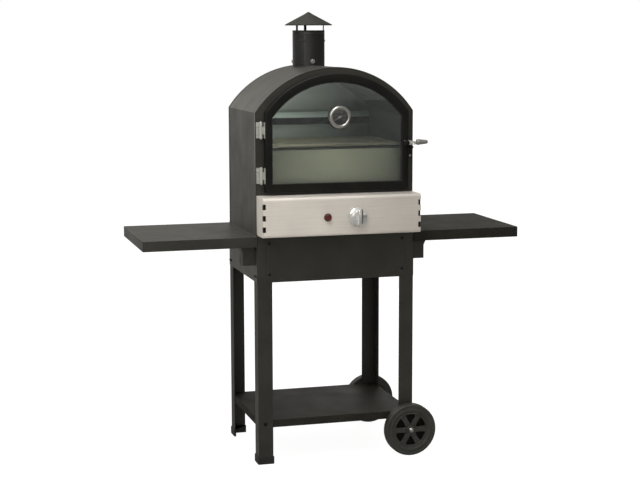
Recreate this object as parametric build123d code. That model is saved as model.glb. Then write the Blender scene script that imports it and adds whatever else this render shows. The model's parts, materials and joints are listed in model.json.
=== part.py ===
from build123d import *
import math
import os

# Gas-fired pizza oven on a four-legged trolley: mm, +Z up, front faces -Y.
# Sizes below are measured from the centre of the leg frame; SHIFT_Y moves the
# finished pieces so that the origin is the middle of the whole footprint.

# ---- driving dimensions ---------------------------------------------------
SHEET = 1.5
TOUCH = 0.1
FREE = 0.5
RUN = 0.05

FRAME_W = 540.0
FRAME_D = 420.0
LEG_FLANGE = 50.0
LEG_T = 2.5
DECK_Z = 768.0
FOOT_H = 26.0
FOOT_WALL = 2.5
FOOT_SOLE = 6.0
AXLED_LEG_Z = 60.0

APRON_Z = 615.0
APRON_HALF = FRAME_W / 2 - 30.0
PAN_TOP_Z = 150.0
PAN_LIP = 26.0

SHELF_TOP_Z = 768.0
SHELF_LIP = 34.0
SHELF_END_X = FRAME_W / 2 + 378.0
SHELF_FRONT_Y = -215.0
SHELF_REAR_Y = 194.0
BRACKET_LOW_Z = 671.0
REAR_BRACKET_LOW_Z = 692.0
BRACKET_REACH = 43.0
BRACKET_W = 38.0
BRACKET_FRONT_Y = -190.0
SLOT_Y = 33.0
SLOT_Z = 655.0
SLOT_W = 24.0
SLOT_H = 32.0

WHEEL_R = 89.0
WHEEL_W = 32.0
WHEEL_X = FRAME_W / 2 - 16.0
AXLE_R = 5.0
RIM_R = 60.0
RIM_T = 6.0
HUB_R = 16.0
SPOKE_W = 17.0
SPACER = 3.0
NUT_T = 8.0

WRAP_FRONT_Y = -197.0
WRAP_REAR_Y = 203.0
ARCH_R = 324.0
ARCH_Z = 993.0

DOOR_X = 4.0
DOOR_HALF = FRAME_W / 2 - 24.0
DOOR_LOW_Z = 911.0
DOOR_ARC_R = ARCH_R - 22.0
DOOR_ARC_Z = ARCH_Z + 3.0
DOOR_FRONT_Y = -217.0
DOOR_REAR_Y = -199.0
PANE_HALF = DOOR_HALF - 22.5
PANE_LOW_Z = DOOR_LOW_Z + 27.0
PANE_ARC_R = DOOR_ARC_R - 26.0
PANE_ARC_Z = DOOR_ARC_Z - 2.0
GLASS_T = 4.0
GLASS_GRIP = 10.0
SEAL_GAP = 0.4

SURROUND_FRONT_Y = WRAP_FRONT_Y + 1.0
CHAMBER_HALF = PANE_HALF + 8.5
CHAMBER_FLOOR_Z = DOOR_LOW_Z - 6.0
CHAMBER_ARC_R = PANE_ARC_R + 8.0
CHAMBER_REAR_Y = 190.0
LINER = 1.2
WOOL = 32.0
DEFLECTOR_Z = 1143.0
DEFLECTOR_LIP = 34.0
DEFLECTOR_DEPTH = 45.0

STONE_TOP_Z = 1067.0
STONE_T = 10.0
STONE_HALF = CHAMBER_HALF - 6.0
STONE_FRONT_Y = -178.0
STONE_REAR_Y = 120.0
RAIL_LEDGE = 30.0
FASCIA_Y = -186.0
FASCIA_GAP = 5.0
SPREADER_Z = 985.0
SPREADER_REAR_Y = 90.0

FLUE_Y = 130.0
FLUE_R = 56.0
FLUE_WALL = 1.2
FLUE_TOP_Z = 1437.0
FLUE_LOW_Z = PANE_ARC_Z + CHAMBER_ARC_R - 10.0
CAP_R = 82.0
CAP_RIM_Z = FLUE_TOP_Z + 15.0
CAP_RISE = 48.0
TOP_Z = CAP_RIM_Z + CAP_RISE
STRUT_DEG = -153.0

PANEL_HALF = FRAME_W / 2 - SHEET
PANEL_FRONT_Y = -289.0
PANEL_LOW_Z = DECK_Z + 5.0
PANEL_TOP_Z = DOOR_LOW_Z - 9.0
PANEL_BEND = 10.0
CONTROL_Z = PANEL_LOW_Z + 61.0
KNOB_X = 48.0
BUTTON_X = -52.0
KNOB_R = 31.0
KNOB_REACH = 33.0
STEM_R = 4.0
PUSH = 4.0
BUTTON_R = 10.5
BUTTON_REACH = 9.0
BUTTON_PUSH = 6.0

HINGE_X = DOOR_X - DOOR_HALF - 12.0
HINGE_Y = DOOR_FRONT_Y + 10.0
HINGE_PIN_R = 2.5
KNUCKLE_R = 5.0
HINGE_H = 52.0
HINGE_LOWS = (DOOR_LOW_Z + 30.0, DOOR_LOW_Z + 179.0)

THERMO_X = 8.0
THERMO_Z = 1155.0
THERMO_R = 37.0
THERMO_D = 17.0
BEZEL = 8.0

LATCH_X = DOOR_X + DOOR_HALF - 12.0
LATCH_Z = 1066.0
LATCH_PIN_R = 4.0
LATCH_TURN = 30.0
POST_DX = 18.0
POST_DZ = -14.5
POST_R = 2.5
POST_HEAD_R = 5.0
GRIP_END_X = LATCH_X + 75.0
GRIP_R = 6.5
GRIP_ROOT_R = 10.5

SHIFT_Y = ((-PANEL_FRONT_Y + 2.0 + KNOB_REACH) - (FRAME_D / 2 + SPACER + WHEEL_W + 2 + 2 * FREE + NUT_T)) / 2

nodes = {}


# ---- small helpers --------------------------------------------------------
def block(x0, x1, y0, y1, z0, z1):
    return Pos((x0 + x1) / 2, (y0 + y1) / 2, (z0 + z1) / 2) * Box(x1 - x0, y1 - y0, z1 - z0)


def rod_x(x0, x1, y, z, r):
    return Pos((x0 + x1) / 2, y, z) * Rot(0, 90, 0) * Cylinder(r, x1 - x0)


def rod_y(x, y0, y1, z, r):
    return Pos(x, (y0 + y1) / 2, z) * Rot(90, 0, 0) * Cylinder(r, y1 - y0)


def rod_z(x, y, z0, z1, r):
    return Pos(x, y, (z0 + z1) / 2) * Cylinder(r, z1 - z0)


def hex_y(x, y0, y1, z, across):
    face = RegularPolygon(across / 2, 6, major_radius=False)
    return extrude(Plane((x, y1, z), x_dir=(1, 0, 0), z_dir=(0, -1, 0)) * face, y1 - y0)


def plate_xz(points, y0, y1):
    face = make_face(Polyline(*points, close=True))
    return extrude(Plane((0, y1, 0), x_dir=(1, 0, 0), z_dir=(0, -1, 0)) * face, y1 - y0)


def arch(centre_x, half, low_z, arc_r, arc_z, y0, y1):
    eave = arc_z + math.sqrt(arc_r * arc_r - half * half)
    top = (centre_x, arc_z + arc_r)
    left = centre_x - half
    right = centre_x + half
    sides = Polyline((left, eave), (left, low_z), (right, low_z), (right, eave))
    crown = ThreePointArc((right, eave), top, (left, eave))
    face = make_face(sides + crown)
    return extrude(Plane((0, y1, 0), x_dir=(1, 0, 0), z_dir=(0, -1, 0)) * face, y1 - y0)


def arch_ring(centre_x, half, low_z, arc_r, arc_z, width, y0, y1, open_low=False):
    inner_low = low_z - 1 if open_low else low_z + width
    outer = arch(centre_x, half, low_z, arc_r, arc_z, y0, y1)
    inner = arch(centre_x, half - width, inner_low, arc_r - width, arc_z, y0 - 1, y1 + 1)
    return outer - inner


def mirror_x(shape):
    return mirror(shape, about=Plane.YZ)


def mirror_y(shape):
    return mirror(shape, about=Plane.XZ)


# ---- leg frame ------------------------------------------------------------
def angle_leg(side_x, side_y, low_z, grow=0.0, low=None, high=None):
    outer_x = FRAME_W / 2 + grow
    outer_y = FRAME_D / 2 + grow
    inner_x = FRAME_W / 2 - LEG_T - grow
    inner_y = FRAME_D / 2 - LEG_T - grow
    reach_x = FRAME_W / 2 - LEG_FLANGE - grow
    reach_y = FRAME_D / 2 - LEG_FLANGE - grow
    z0 = low_z if low is None else low
    z1 = DECK_Z if high is None else high
    face_plate = block(reach_x, outer_x, inner_y, outer_y, z0, z1)
    side_plate = block(inner_x, outer_x, reach_y, outer_y, z0, z1)
    leg = face_plate + side_plate
    if side_x < 0:
        leg = mirror_x(leg)
    if side_y < 0:
        leg = mirror_y(leg)
    return leg


def make_frame():
    half_w = FRAME_W / 2
    half_d = FRAME_D / 2
    nodes["leg_front_left"] = angle_leg(-1, -1, FOOT_SOLE)
    nodes["leg_rear_left"] = angle_leg(-1, 1, FOOT_SOLE)
    axle_hole = rod_y(WHEEL_X, -half_d - 10, half_d + 10, WHEEL_R, AXLE_R + TOUCH)
    nodes["leg_front_right"] = angle_leg(1, -1, AXLED_LEG_Z) - axle_hole
    nodes["leg_rear_right"] = angle_leg(1, 1, AXLED_LEG_Z) - axle_hole
    feet = []
    for side_y in (-1, 1):
        shoe = angle_leg(-1, side_y, 0, grow=FOOT_WALL, low=0, high=FOOT_H)
        pocket = angle_leg(-1, side_y, 0, grow=TOUCH, low=FOOT_SOLE, high=FOOT_H + 1)
        feet.append(shoe - pocket)
    nodes["foot_caps"] = feet
    lip = 12.0
    inner_half = half_w - LEG_FLANGE - 2
    front = block(-APRON_HALF, APRON_HALF, -half_d - SHEET, -half_d, APRON_Z, DECK_Z)
    front_lip = block(-inner_half, inner_half, -half_d, -half_d + lip, APRON_Z, APRON_Z + SHEET)
    nodes["apron_front"] = front + front_lip
    nodes["apron_rear"] = mirror_y(nodes["apron_front"])
    side_y = half_d - LEG_FLANGE - 2
    side = block(half_w, half_w + SHEET, -half_d + 2, half_d - 2, APRON_Z, DECK_Z)
    side_lip = block(half_w - lip, half_w, -side_y, side_y, APRON_Z, APRON_Z + SHEET)
    slot = SlotOverall(SLOT_H, SLOT_W, rotation=90)
    slot_plane = Plane((half_w - 5, SLOT_Y, SLOT_Z), x_dir=(0, 1, 0), z_dir=(1, 0, 0))
    nodes["apron_right"] = side + side_lip - extrude(slot_plane * slot, 12)
    nodes["apron_left"] = mirror_x(nodes["apron_right"])
    pan_x = half_w - LEG_T - TOUCH
    pan_y = half_d - LEG_T - TOUCH
    pan = block(-pan_x, pan_x, -pan_y, pan_y, PAN_TOP_Z - PAN_LIP, PAN_TOP_Z)
    hollow = block(-pan_x + SHEET, pan_x - SHEET, -pan_y + SHEET, pan_y - SHEET, 0, PAN_TOP_Z - SHEET)
    nodes["bottom_shelf"] = pan - hollow
    deck = block(-half_w, half_w, -half_d, half_d, DECK_Z, DECK_Z + SHEET)
    for x in (-150, -50, 50, 150):
        deck -= block(x - 30, x + 30, -60, 60, DECK_Z - 1, DECK_Z + 5)
    nodes["deck_plate"] = deck


# ---- shelves --------------------------------------------------------------
def make_shelves():
    inner_x = FRAME_W / 2 + SHEET
    low_z = SHELF_TOP_Z - SHELF_LIP
    tray = block(inner_x, SHELF_END_X, SHELF_FRONT_Y, SHELF_REAR_Y, low_z, SHELF_TOP_Z)
    upright = tray.edges().filter_by(Axis.Z).sort_by(Axis.X)[-2:]
    tray = fillet(upright, 6)
    hollow_low = block(inner_x + SHEET, SHELF_END_X - SHEET, SHELF_FRONT_Y + SHEET, SHELF_REAR_Y - SHEET,
                       low_z - 1, SHELF_TOP_Z - SHEET)
    inner_edges = hollow_low.edges().filter_by(Axis.Z).sort_by(Axis.X)[-2:]
    hollow_low = fillet(inner_edges, 6 - SHEET)
    tray = tray - hollow_low
    nodes["shelf_right"] = tray
    nodes["shelf_left"] = mirror_x(tray)
    top_z = SHELF_TOP_Z - SHEET
    outer_x = inner_x + BRACKET_REACH
    pair = []
    rear_y = SHELF_REAR_Y - 24 - BRACKET_W
    for y0, base_z in ((BRACKET_FRONT_Y, BRACKET_LOW_Z), (rear_y, REAR_BRACKET_LOW_Z)):
        outline = [(inner_x, base_z), (outer_x, base_z), (outer_x, low_z - 18),
                   (outer_x + 8, low_z), (outer_x + 8, top_z), (inner_x, top_z)]
        shape = plate_xz(outline, y0, y0 + BRACKET_W)
        core = [(inner_x - 1, base_z + SHEET), (outer_x - SHEET, base_z + SHEET),
                (outer_x - SHEET, low_z - 18), (outer_x + 8 - SHEET, low_z),
                (outer_x + 8 - SHEET, top_z + 1), (inner_x - 1, top_z + 1)]
        shape -= plate_xz(core, y0 + SHEET, y0 + BRACKET_W - SHEET)
        inner_lip = block(inner_x - 1, inner_x + SHEET + TOUCH, y0 - 1, y0 + BRACKET_W + 1, low_z - TOUCH, top_z + 1)
        pair.append(shape - inner_lip)
    nodes["brackets_right"] = pair
    nodes["brackets_left"] = [mirror_x(one) for one in pair]


# ---- wheels ---------------------------------------------------------------
def wheel_rim(y0, y1):
    middle = (y0 + y1) / 2
    rim = rod_y(WHEEL_X, y0 + 3, y1 - 3, WHEEL_R, RIM_R)
    rim -= rod_y(WHEEL_X, y0, y1, WHEEL_R, RIM_R - RIM_T)
    web = rod_y(WHEEL_X, middle - 3, middle + 3, WHEEL_R, RIM_R - RIM_T + 1)
    hub = rod_y(WHEEL_X, y0 - 1, y1 + 1, WHEEL_R, HUB_R)
    wheel = rim + web + hub
    for i in range(6):
        angle = 60 * i
        spoke = Rot(0, angle, 0) * block(HUB_R - 2, RIM_R - RIM_T + 1, y0 + 7 - middle, y1 - 7 - middle,
                                          -SPOKE_W / 2, SPOKE_W / 2)
        wheel += Pos(WHEEL_X, middle, WHEEL_R) * spoke
    return wheel - rod_y(WHEEL_X, y0 - 5, y1 + 5, WHEEL_R, AXLE_R + RUN)


def wheel_tyre(y0, y1):
    half = WHEEL_W / 2
    crown = half - 7
    profile = Polyline((RIM_R, -half + 3), (WHEEL_R - 7, -half), (WHEEL_R, -crown), (WHEEL_R, crown),
                       (WHEEL_R - 7, half), (RIM_R, half - 3), close=True)
    ring = revolve(Plane.XZ * make_face(profile), axis=Axis.Z)
    return Pos(WHEEL_X, (y0 + y1) / 2, WHEEL_R) * Rot(90, 0, 0) * ring


def make_wheels():
    half_d = FRAME_D / 2
    near = half_d + SPACER + FREE + 1
    far = near + WHEEL_W
    nut_near = far + 1 + FREE
    axle_end = nut_near + NUT_T
    nodes["axle"] = rod_y(WHEEL_X, -axle_end + 3, axle_end - 3, WHEEL_R, AXLE_R)
    nodes["wheel_front_rim"] = wheel_rim(-far, -near)
    nodes["wheel_front_tyre"] = wheel_tyre(-far, -near)
    nodes["wheel_rear_rim"] = wheel_rim(near, far)
    nodes["wheel_rear_tyre"] = wheel_tyre(near, far)
    fixings = []
    for side in (-1, 1):
        ends = sorted((side * half_d, side * (half_d + SPACER)))
        ring = rod_y(WHEEL_X, ends[0], ends[1], WHEEL_R, 10)
        fixings.append(ring - rod_y(WHEEL_X, ends[0] - 1, ends[1] + 1, WHEEL_R, AXLE_R + TOUCH))
        ends = sorted((side * nut_near, side * axle_end))
        cap = rod_y(WHEEL_X, ends[0], ends[1], WHEEL_R, 9)
        edge = cap.edges().filter_by(GeomType.CIRCLE).sort_by(Axis.Y)[0 if side < 0 else -1]
        cap = chamfer(edge, 3)
        bore_end = sorted((side * (nut_near - 1), side * (axle_end - 3)))
        fixings.append(cap - rod_y(WHEEL_X, bore_end[0], bore_end[1], WHEEL_R, AXLE_R + TOUCH))
    nodes["axle_fixings"] = fixings


# ---- oven body ------------------------------------------------------------
def make_body():
    half_w = FRAME_W / 2
    base_z = DECK_Z + SHEET
    flue_cut = rod_z(0, FLUE_Y, FLUE_LOW_Z - 60, ARCH_Z + ARCH_R + 60, FLUE_R + TOUCH)
    wrap = arch_ring(0, half_w, base_z, ARCH_R, ARCH_Z, SHEET, WRAP_FRONT_Y, WRAP_REAR_Y, open_low=True)
    nodes["oven_wrap"] = wrap - flue_cut
    inner_half = half_w - SHEET - TOUCH
    inner_r = ARCH_R - SHEET - TOUCH
    surround = arch(0, inner_half, base_z, inner_r, ARCH_Z, SURROUND_FRONT_Y, SURROUND_FRONT_Y + SHEET)
    mouth = arch(DOOR_X, PANE_HALF, PANE_LOW_Z, PANE_ARC_R, PANE_ARC_Z, SURROUND_FRONT_Y - 1, SURROUND_FRONT_Y + 5)
    surround -= mouth
    surround -= rod_y(KNOB_X, SURROUND_FRONT_Y - 1, SURROUND_FRONT_Y + 5, CONTROL_Z, 22)
    nodes["front_surround"] = surround
    back = arch(0, inner_half, base_z, inner_r, ARCH_Z, WRAP_REAR_Y - SHEET - 2, WRAP_REAR_Y - 2)
    for x in (-120, -60, 0, 60, 120):
        for z in (DECK_Z + 44, DECK_Z + 64):
            back -= block(x - 22, x + 22, WRAP_REAR_Y - 20, WRAP_REAR_Y + 5, z, z + 8)
    nodes["back_panel"] = back
    front_y = SURROUND_FRONT_Y + SHEET
    liner = arch_ring(DOOR_X, CHAMBER_HALF, CHAMBER_FLOOR_Z, CHAMBER_ARC_R, PANE_ARC_Z, LINER,
                      front_y, CHAMBER_REAR_Y, open_low=True)
    liner_back = arch(DOOR_X, CHAMBER_HALF, CHAMBER_FLOOR_Z, CHAMBER_ARC_R, PANE_ARC_Z,
                      CHAMBER_REAR_Y, CHAMBER_REAR_Y + LINER)
    liner = liner + liner_back + stone_rails() + rear_deflector()
    nodes["chamber_liner"] = liner - flue_cut
    floor_x0 = DOOR_X - CHAMBER_HALF + LINER + TOUCH
    floor_x1 = DOOR_X + CHAMBER_HALF - LINER - TOUCH
    floor = block(floor_x0, floor_x1, front_y, CHAMBER_REAR_Y - TOUCH, CHAMBER_FLOOR_Z, CHAMBER_FLOOR_Z + LINER)
    floor -= rod_z(KNOB_X, 0, CHAMBER_FLOOR_Z - 5, CHAMBER_FLOOR_Z + 5, 14 + TOUCH)
    for x in (floor_x0 + 40, floor_x0 + 120, floor_x1 - 80, floor_x1 - 30):
        floor -= block(x - 5, x + 5, 60, 160, CHAMBER_FLOOR_Z - 1, CHAMBER_FLOOR_Z + 5)
    nodes["chamber_floor"] = floor
    wool = arch_ring(DOOR_X, CHAMBER_HALF + WOOL, CHAMBER_FLOOR_Z, CHAMBER_ARC_R + WOOL, PANE_ARC_Z, WOOL,
                     front_y, CHAMBER_REAR_Y, open_low=True)
    wool_limit = arch(0, half_w - SHEET - 1, base_z, ARCH_R - SHEET - 1, ARCH_Z, front_y, CHAMBER_REAR_Y)
    nodes["insulation"] = (wool & wool_limit) - flue_cut


def rear_deflector():
    half = CHAMBER_HALF - 10
    front_y = CHAMBER_REAR_Y - DEFLECTOR_DEPTH
    low_z = DEFLECTOR_Z - DEFLECTOR_LIP
    lip = block(DOOR_X - half, DOOR_X + half, front_y, front_y + LINER, low_z, DEFLECTOR_Z)
    top = block(DOOR_X - half, DOOR_X + half, front_y, CHAMBER_REAR_Y, DEFLECTOR_Z - LINER, DEFLECTOR_Z)
    inside = arch(DOOR_X, CHAMBER_HALF - 1, CHAMBER_FLOOR_Z, CHAMBER_ARC_R - 1, PANE_ARC_Z,
                  front_y - 1, CHAMBER_REAR_Y)
    return (lip + top) & inside


def make_hearth():
    stone = block(DOOR_X - STONE_HALF, DOOR_X + STONE_HALF, STONE_FRONT_Y, STONE_REAR_Y,
                  STONE_TOP_Z - STONE_T, STONE_TOP_Z)
    nodes["baking_stone"] = chamfer(stone.faces().sort_by(Axis.Z)[-1].edges(), 1.5)


def stone_rails():
    wall_x = CHAMBER_HALF - LINER
    ledge_z = STONE_TOP_Z - STONE_T
    rails = None
    for side in (-1, 1):
        xs = sorted((DOOR_X + side * wall_x, DOOR_X + side * (wall_x - RAIL_LEDGE)))
        ledge = block(xs[0], xs[1], STONE_FRONT_Y, STONE_REAR_Y, ledge_z - SHEET, ledge_z)
        xs = sorted((DOOR_X + side * wall_x, DOOR_X + side * (wall_x - SHEET)))
        upright = block(xs[0], xs[1], STONE_FRONT_Y, STONE_REAR_Y, ledge_z - 22, ledge_z)
        rail = ledge + upright
        rails = rail if rails is None else rails + rail
    return rails


def make_burner():
    wall_x = CHAMBER_HALF - LINER
    burner_z = CHAMBER_FLOOR_Z + 52.0
    tube_r = 20.0
    tube = rod_x(DOOR_X - 160, DOOR_X + 160, 0, burner_z, tube_r)
    tube -= rod_x(DOOR_X - 158, DOOR_X + 158, 0, burner_z, tube_r - SHEET)
    for i in range(11):
        x = DOOR_X - 140 + 28 * i
        tube -= block(x - 2, x + 2, -30, 30, burner_z + 6, burner_z + 10)
    tube -= rod_z(KNOB_X, 0, burner_z - 30, burner_z - 5, 12 + TOUCH)
    nodes["burner_tube"] = tube
    feed_r = 14.0
    mouth_y = SURROUND_FRONT_Y + 18.0
    feed = rod_y(KNOB_X, mouth_y, feed_r, CONTROL_Z, feed_r)
    feed += rod_z(KNOB_X, 0, CONTROL_Z - feed_r, burner_z - tube_r + 1, feed_r)
    feed += rod_z(KNOB_X, 0, CONTROL_Z, burner_z - tube_r + 3, 12)
    feed -= rod_y(KNOB_X, mouth_y - 1, 0, CONTROL_Z, feed_r - 2.5)
    feed -= rod_z(KNOB_X, 0, CONTROL_Z, burner_z, 9.5)
    feed -= rod_x(KNOB_X - 20, KNOB_X + 20, mouth_y + 18, CONTROL_Z, 7)
    burner_shell = rod_x(DOOR_X - 160, DOOR_X + 160, 0, burner_z, tube_r + 0.05)
    collar_free = rod_z(KNOB_X, 0, burner_z - 50, burner_z, 12)
    nodes["burner_venturi"] = feed - (burner_shell - collar_free)
    hold = block(-12, 12, -14, 14, CHAMBER_FLOOR_Z + LINER, burner_z - 8)
    hold -= rod_x(-20, 20, 0, burner_z, tube_r + TOUCH)
    hold -= block(-10, 10, -20, 20, CHAMBER_FLOOR_Z + LINER + SHEET, burner_z)
    for x in (DOOR_X - 130, DOOR_X + 130):
        nodes["chamber_floor"] += Pos(x, 0, 0) * hold
    nodes["flame_spreader"] = flame_spreader(wall_x)


def flame_spreader(wall_x):
    half = wall_x - 5.0
    ridge = 22.0
    gable = [(DOOR_X - half, SPREADER_Z), (DOOR_X, SPREADER_Z + ridge), (DOOR_X + half, SPREADER_Z),
             (DOOR_X + half, SPREADER_Z + SHEET), (DOOR_X, SPREADER_Z + ridge + SHEET),
             (DOOR_X - half, SPREADER_Z + SHEET)]
    roof = plate_xz(gable, FASCIA_Y, SPREADER_REAR_Y)
    for side in (-1, 1):
        xs = sorted((DOOR_X + side * (half - 1), DOOR_X + side * wall_x))
        roof += block(xs[0], xs[1], -90, SPREADER_REAR_Y, SPREADER_Z, SPREADER_Z + SHEET)
    top_z = STONE_TOP_Z - STONE_T - FASCIA_GAP
    fascia = block(DOOR_X - half, DOOR_X + half, FASCIA_Y, FASCIA_Y + SHEET, CHAMBER_FLOOR_Z + LINER, top_z)
    hem = block(DOOR_X - half + 30, DOOR_X + half - 30, FASCIA_Y, FASCIA_Y + 14, top_z - SHEET, top_z)
    return roof + fascia + hem


# ---- chimney --------------------------------------------------------------
def cap_cone(lift):
    slope = (TOP_Z - CAP_RIM_Z - 3) / CAP_R
    base_z = CAP_RIM_Z - 150
    profile = Polyline((0, base_z), (CAP_R + 20, base_z), (CAP_R + 20, CAP_RIM_Z + 3 + lift - slope * 20),
                       (0, TOP_Z + lift), close=True)
    return Pos(0, FLUE_Y, 0) * revolve(Plane.XZ * make_face(profile), axis=Axis.Z)


def ring_sector(r0, r1, z0, z1, middle_deg, width_deg):
    ring = rod_z(0, 0, z0, z1, r1) - rod_z(0, 0, z0 - 1, z1 + 1, r0)
    a0 = math.radians(-width_deg / 2)
    a1 = math.radians(width_deg / 2)
    far = r1 * 2
    wedge = make_face(Polyline((0, 0), (far * math.cos(a0), far * math.sin(a0)),
                               (far * math.cos(a1), far * math.sin(a1)), close=True))
    sector = ring & extrude(Pos(0, 0, z0 - 1) * wedge, z1 - z0 + 2)
    return Pos(0, FLUE_Y, 0) * Rot(0, 0, middle_deg) * sector


def make_chimney():
    inner_r = FLUE_R - FLUE_WALL
    pipe = rod_z(0, FLUE_Y, FLUE_LOW_Z, FLUE_TOP_Z, FLUE_R)
    nodes["chimney_pipe"] = pipe - rod_z(0, FLUE_Y, FLUE_LOW_Z - 1, FLUE_TOP_Z + 1, inner_r)
    strut_r1 = inner_r - TOUCH
    strut_r0 = strut_r1 - SHEET
    under_cap = cap_cone(-SHEET)
    struts = []
    foot_z = FLUE_TOP_Z - 36.0
    for turn in (0, 120, 240):
        strip_deg = STRUT_DEG + turn
        foot = ring_sector(strut_r0, strut_r1, foot_z - 12, foot_z + 12, strip_deg + 24, 56)
        strip = ring_sector(strut_r0, strut_r1, foot_z - 12, TOP_Z, strip_deg, 10)
        struts.append((foot + strip) & under_cap)
    nodes["cap_struts"] = struts
    spigot_top_z = FLUE_LOW_Z + 77.0
    spigot = rod_z(0, FLUE_Y, FLUE_LOW_Z, spigot_top_z, strut_r1)
    nodes["flue_spigot"] = spigot - rod_z(0, FLUE_Y, FLUE_LOW_Z - 1, spigot_top_z + 6, strut_r0)
    shell = cap_cone(0) - under_cap
    nodes["chimney_cap"] = shell & rod_z(0, FLUE_Y, CAP_RIM_Z, TOP_Z + 5, CAP_R)


# ---- door -----------------------------------------------------------------
def make_door():
    face = arch_ring(DOOR_X, DOOR_HALF, DOOR_LOW_Z, DOOR_ARC_R, DOOR_ARC_Z, SHEET, DOOR_FRONT_Y, DOOR_REAR_Y)
    front = arch(DOOR_X, DOOR_HALF, DOOR_LOW_Z, DOOR_ARC_R, DOOR_ARC_Z, DOOR_FRONT_Y, DOOR_FRONT_Y + SHEET)
    front -= arch(DOOR_X, PANE_HALF, PANE_LOW_Z, PANE_ARC_R, PANE_ARC_Z, DOOR_FRONT_Y - 1, DOOR_FRONT_Y + 5)
    nodes["door_frame"] = face + front
    grip = GLASS_GRIP
    glass_y = DOOR_FRONT_Y + SHEET
    glass = arch(DOOR_X, PANE_HALF + grip, PANE_LOW_Z - grip, PANE_ARC_R + grip, PANE_ARC_Z, glass_y, glass_y + GLASS_T)
    glass -= rod_y(THERMO_X, glass_y - 1, glass_y + 10, THERMO_Z, STEM_R + 0.3)
    nodes["door_glass"] = glass
    hold_y = glass_y + GLASS_T
    outer_half = DOOR_HALF - SHEET - TOUCH
    retainer = arch(DOOR_X, outer_half, DOOR_LOW_Z + SHEET + TOUCH, DOOR_ARC_R - SHEET - TOUCH, DOOR_ARC_Z, hold_y, hold_y + SHEET)
    retainer -= arch(DOOR_X, PANE_HALF, PANE_LOW_Z, PANE_ARC_R, PANE_ARC_Z, hold_y - 1, hold_y + 5)
    nodes["glass_retainer"] = retainer
    seal_y = hold_y + SHEET
    seal = arch(DOOR_X, PANE_HALF + 14, PANE_LOW_Z - 14, PANE_ARC_R + 14, PANE_ARC_Z, seal_y, SURROUND_FRONT_Y - SEAL_GAP)
    seal -= arch(DOOR_X, PANE_HALF + 4, PANE_LOW_Z - 4, PANE_ARC_R + 4, PANE_ARC_Z, seal_y - 1, SURROUND_FRONT_Y + 1)
    nodes["door_seal"] = seal


def make_hinges():
    fixed = []
    moving = []
    knuckle = HINGE_H / 4
    door_edge = DOOR_X - DOOR_HALF
    leaf_x = 2.0 - FRAME_W / 2
    for low in HINGE_LOWS:
        high = low + HINGE_H
        leaf = block(leaf_x, HINGE_X + 3, SURROUND_FRONT_Y - 2, SURROUND_FRONT_Y, low, high)
        for z0 in (low, high - knuckle):
            leaf += rod_z(HINGE_X, HINGE_Y, z0, z0 + knuckle, KNUCKLE_R)
            leaf += block(HINGE_X - 3, HINGE_X + 3, HINGE_Y, SURROUND_FRONT_Y - 1, z0, z0 + knuckle)
        leaf -= rod_z(HINGE_X, HINGE_Y, low + knuckle / 2, high + 1, HINGE_PIN_R)
        leaf += rod_z(HINGE_X, HINGE_Y, low + knuckle / 2, high + 2, HINGE_PIN_R)
        leaf += rod_z(HINGE_X, HINGE_Y, high, high + 2, HINGE_PIN_R + 1.2)
        for z in (low + 12, high - 12):
            leaf += rod_y(leaf_x + 4, SURROUND_FRONT_Y - 3.5, SURROUND_FRONT_Y - 1, z, 3)
        fixed.append(leaf)
        mid0 = low + knuckle + FREE
        mid1 = high - knuckle - FREE
        flap = rod_z(HINGE_X, HINGE_Y, mid0, mid1, KNUCKLE_R)
        flap += block(HINGE_X, door_edge - 1, HINGE_Y - 2, HINGE_Y + 2, mid0, mid1)
        flap += block(door_edge - 2, door_edge, DOOR_FRONT_Y + 1, DOOR_REAR_Y - 1, low, high)
        flap -= rod_z(HINGE_X, HINGE_Y, low - 1, high + 1, HINGE_PIN_R + RUN)
        moving.append(flap)
    nodes["hinges_fixed"] = fixed
    nodes["hinges_door"] = moving


def make_thermometer():
    back_y = DOOR_FRONT_Y + SHEET
    front_y = back_y - THERMO_D
    cup = rod_y(THERMO_X, front_y, back_y, THERMO_Z, THERMO_R)
    rim = cup.edges().filter_by(GeomType.CIRCLE).sort_by(Axis.Y)[0]
    cup = chamfer(rim, 4)
    dial_r = THERMO_R - BEZEL
    cup -= rod_y(THERMO_X, front_y - 1, back_y - 3, THERMO_Z, dial_r)
    cup -= rod_y(THERMO_X, front_y - 1, back_y + 1, THERMO_Z, STEM_R + TOUCH)
    nodes["thermometer_case"] = cup
    dial = rod_y(THERMO_X, back_y - 6, back_y - 3, THERMO_Z, dial_r - TOUCH)
    dial -= rod_y(THERMO_X, back_y - 10, back_y, THERMO_Z, STEM_R + TOUCH)
    nodes["thermometer_dial"] = dial
    lens = rod_y(THERMO_X, back_y - 13.5, back_y - 12, THERMO_Z, dial_r - TOUCH)
    nodes["thermometer_lens"] = lens
    stem = rod_y(THERMO_X, back_y - 6, back_y + 95.5, THERMO_Z, STEM_R)
    stem -= rod_y(THERMO_X, back_y - 7, back_y - 1, THERMO_Z, 1.2 + RUN)
    nut_y = back_y + GLASS_T
    stem += hex_y(THERMO_X, nut_y, nut_y + 5, THERMO_Z, 16)
    nodes["thermometer_stem"] = stem
    hub_y = back_y - 8.5
    needle = rod_y(THERMO_X, hub_y - 1.5, hub_y, THERMO_Z, 3)
    needle += rod_y(THERMO_X, hub_y, back_y - 2, THERMO_Z, 1.2)
    pointer = plate_xz([(-1.5, -9), (1.5, -9), (0.7, 24), (-0.7, 24)], hub_y - 1.2, hub_y - 0.2)
    needle += Pos(THERMO_X, 0, THERMO_Z) * Rot(0, -120, 0) * pointer
    nodes["thermometer_needle"] = needle


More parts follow.
